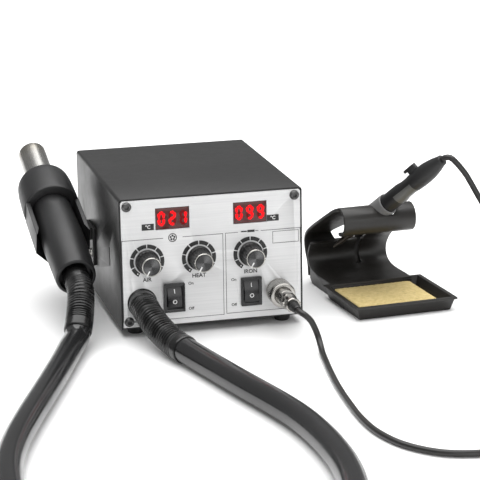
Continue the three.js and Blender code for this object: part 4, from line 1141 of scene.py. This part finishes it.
for name, x in switchXs.items():
    makeSwitch(name, x, switch)
print("switches ready")


# iron connector
connector = {"x": 50.4, "z": 27.4, "socket": 7.6, "ring": 9.8, "knurls": 44, "knurlDepth": 0.03}


def makeConnector(v):
    place = outOfPanel(v["x"], 0, v["z"])
    refineNode("iron_socket", "nickelPlate", 0.3)
    bore = v["socket"] + 0.3
    ring = spunSolid([(bore, 2), (bore, 15), (6.9, 15), (6.9, 17), (v["ring"] - 1.1, 17),
        (v["ring"] - 0.3, 16.6), (v["ring"] - 0.1, 15.8), (v["ring"] - 0.1, 13.8), (v["ring"] - 0.6, 13.5),
        (v["ring"] - 0.6, 12.8), (v["ring"], 12.5), (v["ring"], 5), (v["ring"] - 0.6, 4.7),
        (v["ring"] - 0.6, 4.1), (v["ring"] - 0.1, 3.8), (v["ring"] - 0.1, 2.6), (v["ring"] - 0.7, 2)], 176,
        closed=True)
    fluteRound(ring, v["knurls"], v["knurlDepth"], lambda far, z: far > v["ring"] - 0.05)
    keepPiece(ring, "couplingRing", "nickelPlate", node="coupling_ring", replaced=["coupling_ring"],
        place=place)
    shell = spunSolid([(4.3, 44), (5, 44), (5.6, 43), (5.6, 33.4), (6.1, 33), (6.3, 32.4), (6.3, 27),
        (6.05, 26.7), (6.05, 26), (6.3, 25.7), (6.3, 20), (6.6, 19), (6.6, 14.6), (7.2, 14.4), (7.2, 6.3),
        (4.3, 6.3)], 56,
        closed=True)
    for side in (-1, 1):
        head = spunSolid([(0, 0), (1.5, 0), (1.5, 2.2), (1.2, 2.5), (0, 2.5)], 20)
        turn = Matrix.Rotation(side * math.pi / 2, 3, "Y")
        joinInto(shell, moved(head, (side * 4.6, 0, 38.5), turn))
    keepPiece(shell, "plugBody", "nickelPlate", node="plug_body", replaced=["plug_body"], place=place)
    profile = [(0, 39.4), (3.9, 39.4), (4, 44), (3.95, 46)]
    for i in range(6):
        low = 46.4 + i * 1.6
        r = 3.8 - 0.12 * i
        profile.extend([(r - 0.5, low), (r - 0.5, low + 0.6), (r, low + 0.8), (r, low + 1.4)])
    profile.extend([(2.9, 56.2), (2.7, 56.9), (0, 57)])
    boot = spunSolid(profile, 36)
    keepPiece(boot, "plugBoot", "bootRubber", node="plug_boot", replaced=["plug_boot"], place=place)


makeConnector(connector)
print("connector ready")


# hot-air handset
handset = {
    "handle": 16.4, "length": 101.3, "cap": 22.4, "capLength": 38.4, "tube": 11.2, "reach": 50.7,
    "overlap": 4,
}
handsetPlace = frameOf(zero + butt * mm, handsetWay, (1, 0, 0))


def makeHandset(v):
    r, capStart = v["handle"], v["length"] - v["overlap"]
    capEnd = capStart + v["capLength"]
    handle = spunSolid([(13, 0), (r - 2.4, 0), (r - 1.8, 0.2), (r - 1.2, 0.9), (r - 1.05, 2), (r - 0.7, 10),
        (r - 0.4, 20), (r, 34), (r + 0.2, 48), (r - 0.05, 58), (r - 0.3, 68), (r - 0.8, 78), (r - 1.2, 86),
        (r - 1.4, capStart + 6), (0, capStart + 6), (0, 7), (13, 7)], 72, closed=True)
    keepPiece(handle, "handsetHandle", "handlePlastic", node="handset_handle", replaced=["handset_handle"],
        place=handsetPlace)
    wide, long = v["cap"], v["capLength"]
    bore = r - 0.9
    cap = spunSolid([(bore, 0), (wide - 1.1, 0), (wide - 0.5, 0.3), (wide - 0.1, 1), (wide, 2), (wide, 10),
        (wide - 0.3, 20), (wide - 0.6, 28), (wide - 1.3, long - 3.4), (wide - 1.7, long - 1.9),
        (wide - 2.5, long - 0.6), (wide - 3.6, long), (v["tube"] + 2.6, long),
        (v["tube"] + 2.2, long - 0.8), (v["tube"] + 0.4, long - 0.8), (v["tube"] + 0.4, long - 3),
        (wide - 4.6, long - 3), (wide - 3, 12), (bore, 8)], 72, closed=True)
    bmesh.ops.translate(cap, vec=(0, 0, capStart), verts=cap.verts)
    keepPiece(cap, "handsetCap", "handlePlastic", node="handset_cap", replaced=["handset_cap"],
        place=handsetPlace)
    t = v["tube"]
    low, high = capEnd - 14, capEnd + v["reach"]
    tube = spunSolid([(t - 1, low), (t + 3, low), (t + 3, low + 2), (t, low + 2), (t, high - 6.3),
        (t, high - 1.6), (t - 0.15, high - 0.5), (t - 0.5, high), (t - 0.85, high - 0.3),
        (t - 1, high - 1)], 72, closed=True)
    reachEnd = handsetPlace @ Vector((0, 0, high))
    material = heatedSteelMaterial(reachEnd, handsetWay, v["reach"] * mm)
    keepPiece(tube, "heaterTube", material, node="heater_tube", replaced=["heater_tube"],
        place=handsetPlace)
    core = spunSolid([(0, capEnd - 24), (t - 3, capEnd - 24), (t - 3, high - 13), (t - 3.4, high - 12.2),
        (t - 4.6, high - 12.2), (t - 4.8, high - 14.5), (2.6, high - 14.5), (2.4, high - 12),
        (0, high - 12)], 36)
    keepPiece(core, "heaterCore", "ceramicCore", node="heater_core", replaced=["heater_core"],
        place=handsetPlace)
    refineNode("handset_cradle", "handlePlastic", 0.8, 3)


makeHandset(handset)
print("handset ready")


# iron stand
standEdges = {"stand_base": 0.45, "stand_shell": 0.6}
ironPlace = frameOf(zero + ironPoint * mm, ironWay)
iron = {
    "grip": 7.35, "collar": 8.6, "end": 76, "barrelEnd": -42, "tipEnd": -62, "labelFrom": -105,
    "labelSweep": 110, "label": ((22, 0), (26, 0), (31, -0.7), (38, -0.73), (42, -0.25)),
}


def makeStand():
    for node, width in standEdges.items():
        refineNode(node, "standPlastic", width)
    bore, r = iron["grip"] + 0.3, iron["collar"]
    ring = spunSolid([(bore, -17), (r - 0.3, -17), (r, -16.7), (r, 8.6), (r - 0.4, 9), (bore, 9)], 64,
        closed=True)
    keepPiece(ring, "standCollar", "collarGrey", node="stand_collar", replaced=["stand_collar"],
        place=ironPlace)


def ironUpright():
    # the iron's own X lies level and its tab stands on the upper side, as in the CAD
    turn = Vector((0, 1, 0)).rotation_difference(Vector(cord["way"]).normalized())
    whole = standTurn @ turn
    return Matrix.Translation(zero + ironPoint * mm) @ whole.to_matrix().to_4x4() @ Matrix.Scale(mm, 4)


def alongOwnY(bm):
    # a shape turned about Z is laid along Y
    return moved(bm, (0, 0, 0), Matrix.Rotation(-math.pi / 2, 3, "X"))


def makeSolderingIron(v):
    g = v["grip"]
    place = ironUpright()
    grip = alongOwnY(spunSolid([(0, -5), (g - 1.2, -5), (g - 0.4, -4.6), (g, -3.8), (g, 26),
        (g - 0.25, 28.5), (g - 0.7, 31), (g - 0.75, 34.5), (g - 0.7, 38), (g - 0.3, 41.5), (g, 44),
        (g + 0.2, 50), (g + 0.2, 55), (g - 0.05, 59), (g - 0.4, 62), (g - 1.5, 68), (g - 2.9, 73.5),
        (4.2, 75.4), (3.7, v["end"]), (0, v["end"])], 64))
    joinInto(grip, boxSolid((-g - 4.6, 44, -2), (2 - g, 53, 2), 0.7, 3),
        boxSolid((-g - 4.5, 41.2, -1.9), (-g - 2, 46, 1.9), 0.6, 3))
    keepPiece(grip, "ironHandle", "handlePlastic", node="iron_handle", replaced=["iron_handle"],
        place=place)
    label = bmesh.new()
    start = math.radians(v["labelFrom"])
    line = []
    for height, sink in v["label"]:
        out = g + sink + 0.12
        line.append(label.verts.new((out * math.cos(start), out * math.sin(start), height)))
    edges = [label.edges.new(pair) for pair in zip(line, line[1:])]
    bmesh.ops.spin(label, geom=line + edges, cent=(0, 0, 0), axis=(0, 0, 1),
        angle=math.radians(v["labelSweep"]), steps=16)
    bmesh.ops.recalc_face_normals(label, faces=label.faces)
    bmesh.ops.solidify(label, geom=label.faces[:], thickness=0.1)
    bmesh.ops.recalc_face_normals(label, faces=label.faces)
    nut = alongOwnY(spunSolid([(0, -17), (3.6, -17), (4.6, -16.4), (6.2, -12), (6.4, -11.4), (6.4, -5.6),
        (6.1, -5.3), (0, -5.3)], 48))
    keepPiece(nut, "ironNut", "tarnishShadeSteel", node="iron_nut", replaced=["iron_nut"], place=place)
    barrel = alongOwnY(spunSolid([(0, v["barrelEnd"]), (2.7, v["barrelEnd"]), (3.1, v["barrelEnd"] + 0.5),
        (3.1, -17.3), (0, -17.3)], 40))
    keepPiece(barrel, "ironBarrel", "tarnishShadeSteel", node="iron_barrel", replaced=["iron_barrel"],
        place=place)
    point, root = v["tipEnd"], v["barrelEnd"] - 0.3
    tip = alongOwnY(spunSolid([(0, point), (0.35, point + 0.1), (0.6, point + 0.7), (2.1, point + 9),
        (2.3, point + 10.4), (2.3, root), (0, root)], 36))
    keepPiece(tip, "ironTip", "tarnishShadeSteel", node="iron_tip", replaced=["iron_tip"], place=place)
    return label, place


makeStand()
ironLabel, ironTurn = makeSolderingIron(iron)
alongOwnY(ironLabel)
piece = keepPiece(ironLabel, "ironLabel", "labelSilver", body="iron", place=ironTurn)
print("iron ready")


# sponge
sponge = {"low": (0.3, 2.3, 2.1), "high": (65.2, 60.2, 8.3), "soft": 1.6, "cell": 1.3, "ragged": 0.28,
    "fill": 0.7}


def makeSponge(v):
    # a cut block with a slightly ragged skin, turned with the stand
    bm = boxSolid(v["low"], v["high"])
    bmesh.ops.subdivide_edges(bm, edges=bm.edges[:], cuts=1, use_grid_fill=True)
    softenEdges(bm, v["soft"], segments=4)
    while True:
        long = [e for e in bm.edges if e.calc_length() > v["cell"]]
        if not long:
            break
        bmesh.ops.subdivide_edges(bm, edges=long, cuts=1, use_grid_fill=True)
    bm.normal_update()
    for vert in bm.verts:
        rough = noise.noise(vert.co * 0.9) + 0.6 * noise.noise(vert.co * 2.1)
        shift = vert.normal * (v["ragged"] * (rough - 0.35))
        vert.co += shift
        vert.co.z = max(v["low"][2], vert.co.z)
    place = intoRow @ Matrix.Translation(cord["stand"]) @ standTurn.to_matrix().to_4x4()
    piece = keepPiece(bm, "dampSponge", "dampSponge", node="sponge", replaced=["sponge"], place=place,
        limit=1.2)


makeSponge(sponge)

# what is inside keeps its CAD shape
insideFinishes = {
    "display_board": "boardGreen", "main_board": "boardGreen", "transformer": "varnishedCore",
    "air_pump": "castAlloy", "inner_air_tube": "milkyTube",
}
for node, material in insideFinishes.items():
    finishNode(node, material)
print("inside ready")


# floor
ground = {    # in metres
    "size": 4, "below": 0.0002, "pale": (0.90, 0.90, 0.90, 1), "paler": (0.93, 0.93, 0.93, 1),
}


def makeFloor(v):
    mesh = bpy.data.meshes.new("floor")
    bm = bmesh.new()
    bmesh.ops.create_grid(bm, x_segments=1, y_segments=1, size=v["size"])
    bmesh.ops.translate(bm, vec=(0, 0, -v["below"]), verts=bm.verts)
    bm.to_mesh(mesh)
    bm.free()
    material, tree, shader, place = startMaterial("floorWhite",
        {"Roughness": 0.55, "Specular IOR Level": 0.25})
    tone = addNode(tree, "ShaderNodeTexNoise", Scale=3.0, Detail=2.0)
    color = addNode(tree, "ShaderNodeMix", data_type="RGBA")
    color.inputs["A"].default_value = v["pale"]
    color.inputs["B"].default_value = v["paler"]
    joinSockets(tree, (place.outputs["Object"], tone.inputs["Vector"]),
        (tone.outputs["Fac"], color.inputs["Factor"]),
        (color.outputs["Result"], shader.inputs["Base Color"]))
    mesh.materials.append(material)
    floor = bpy.data.objects.new("floor", mesh)
    scene.collection.objects.link(floor)


makeFloor(ground)

print("everything placed")
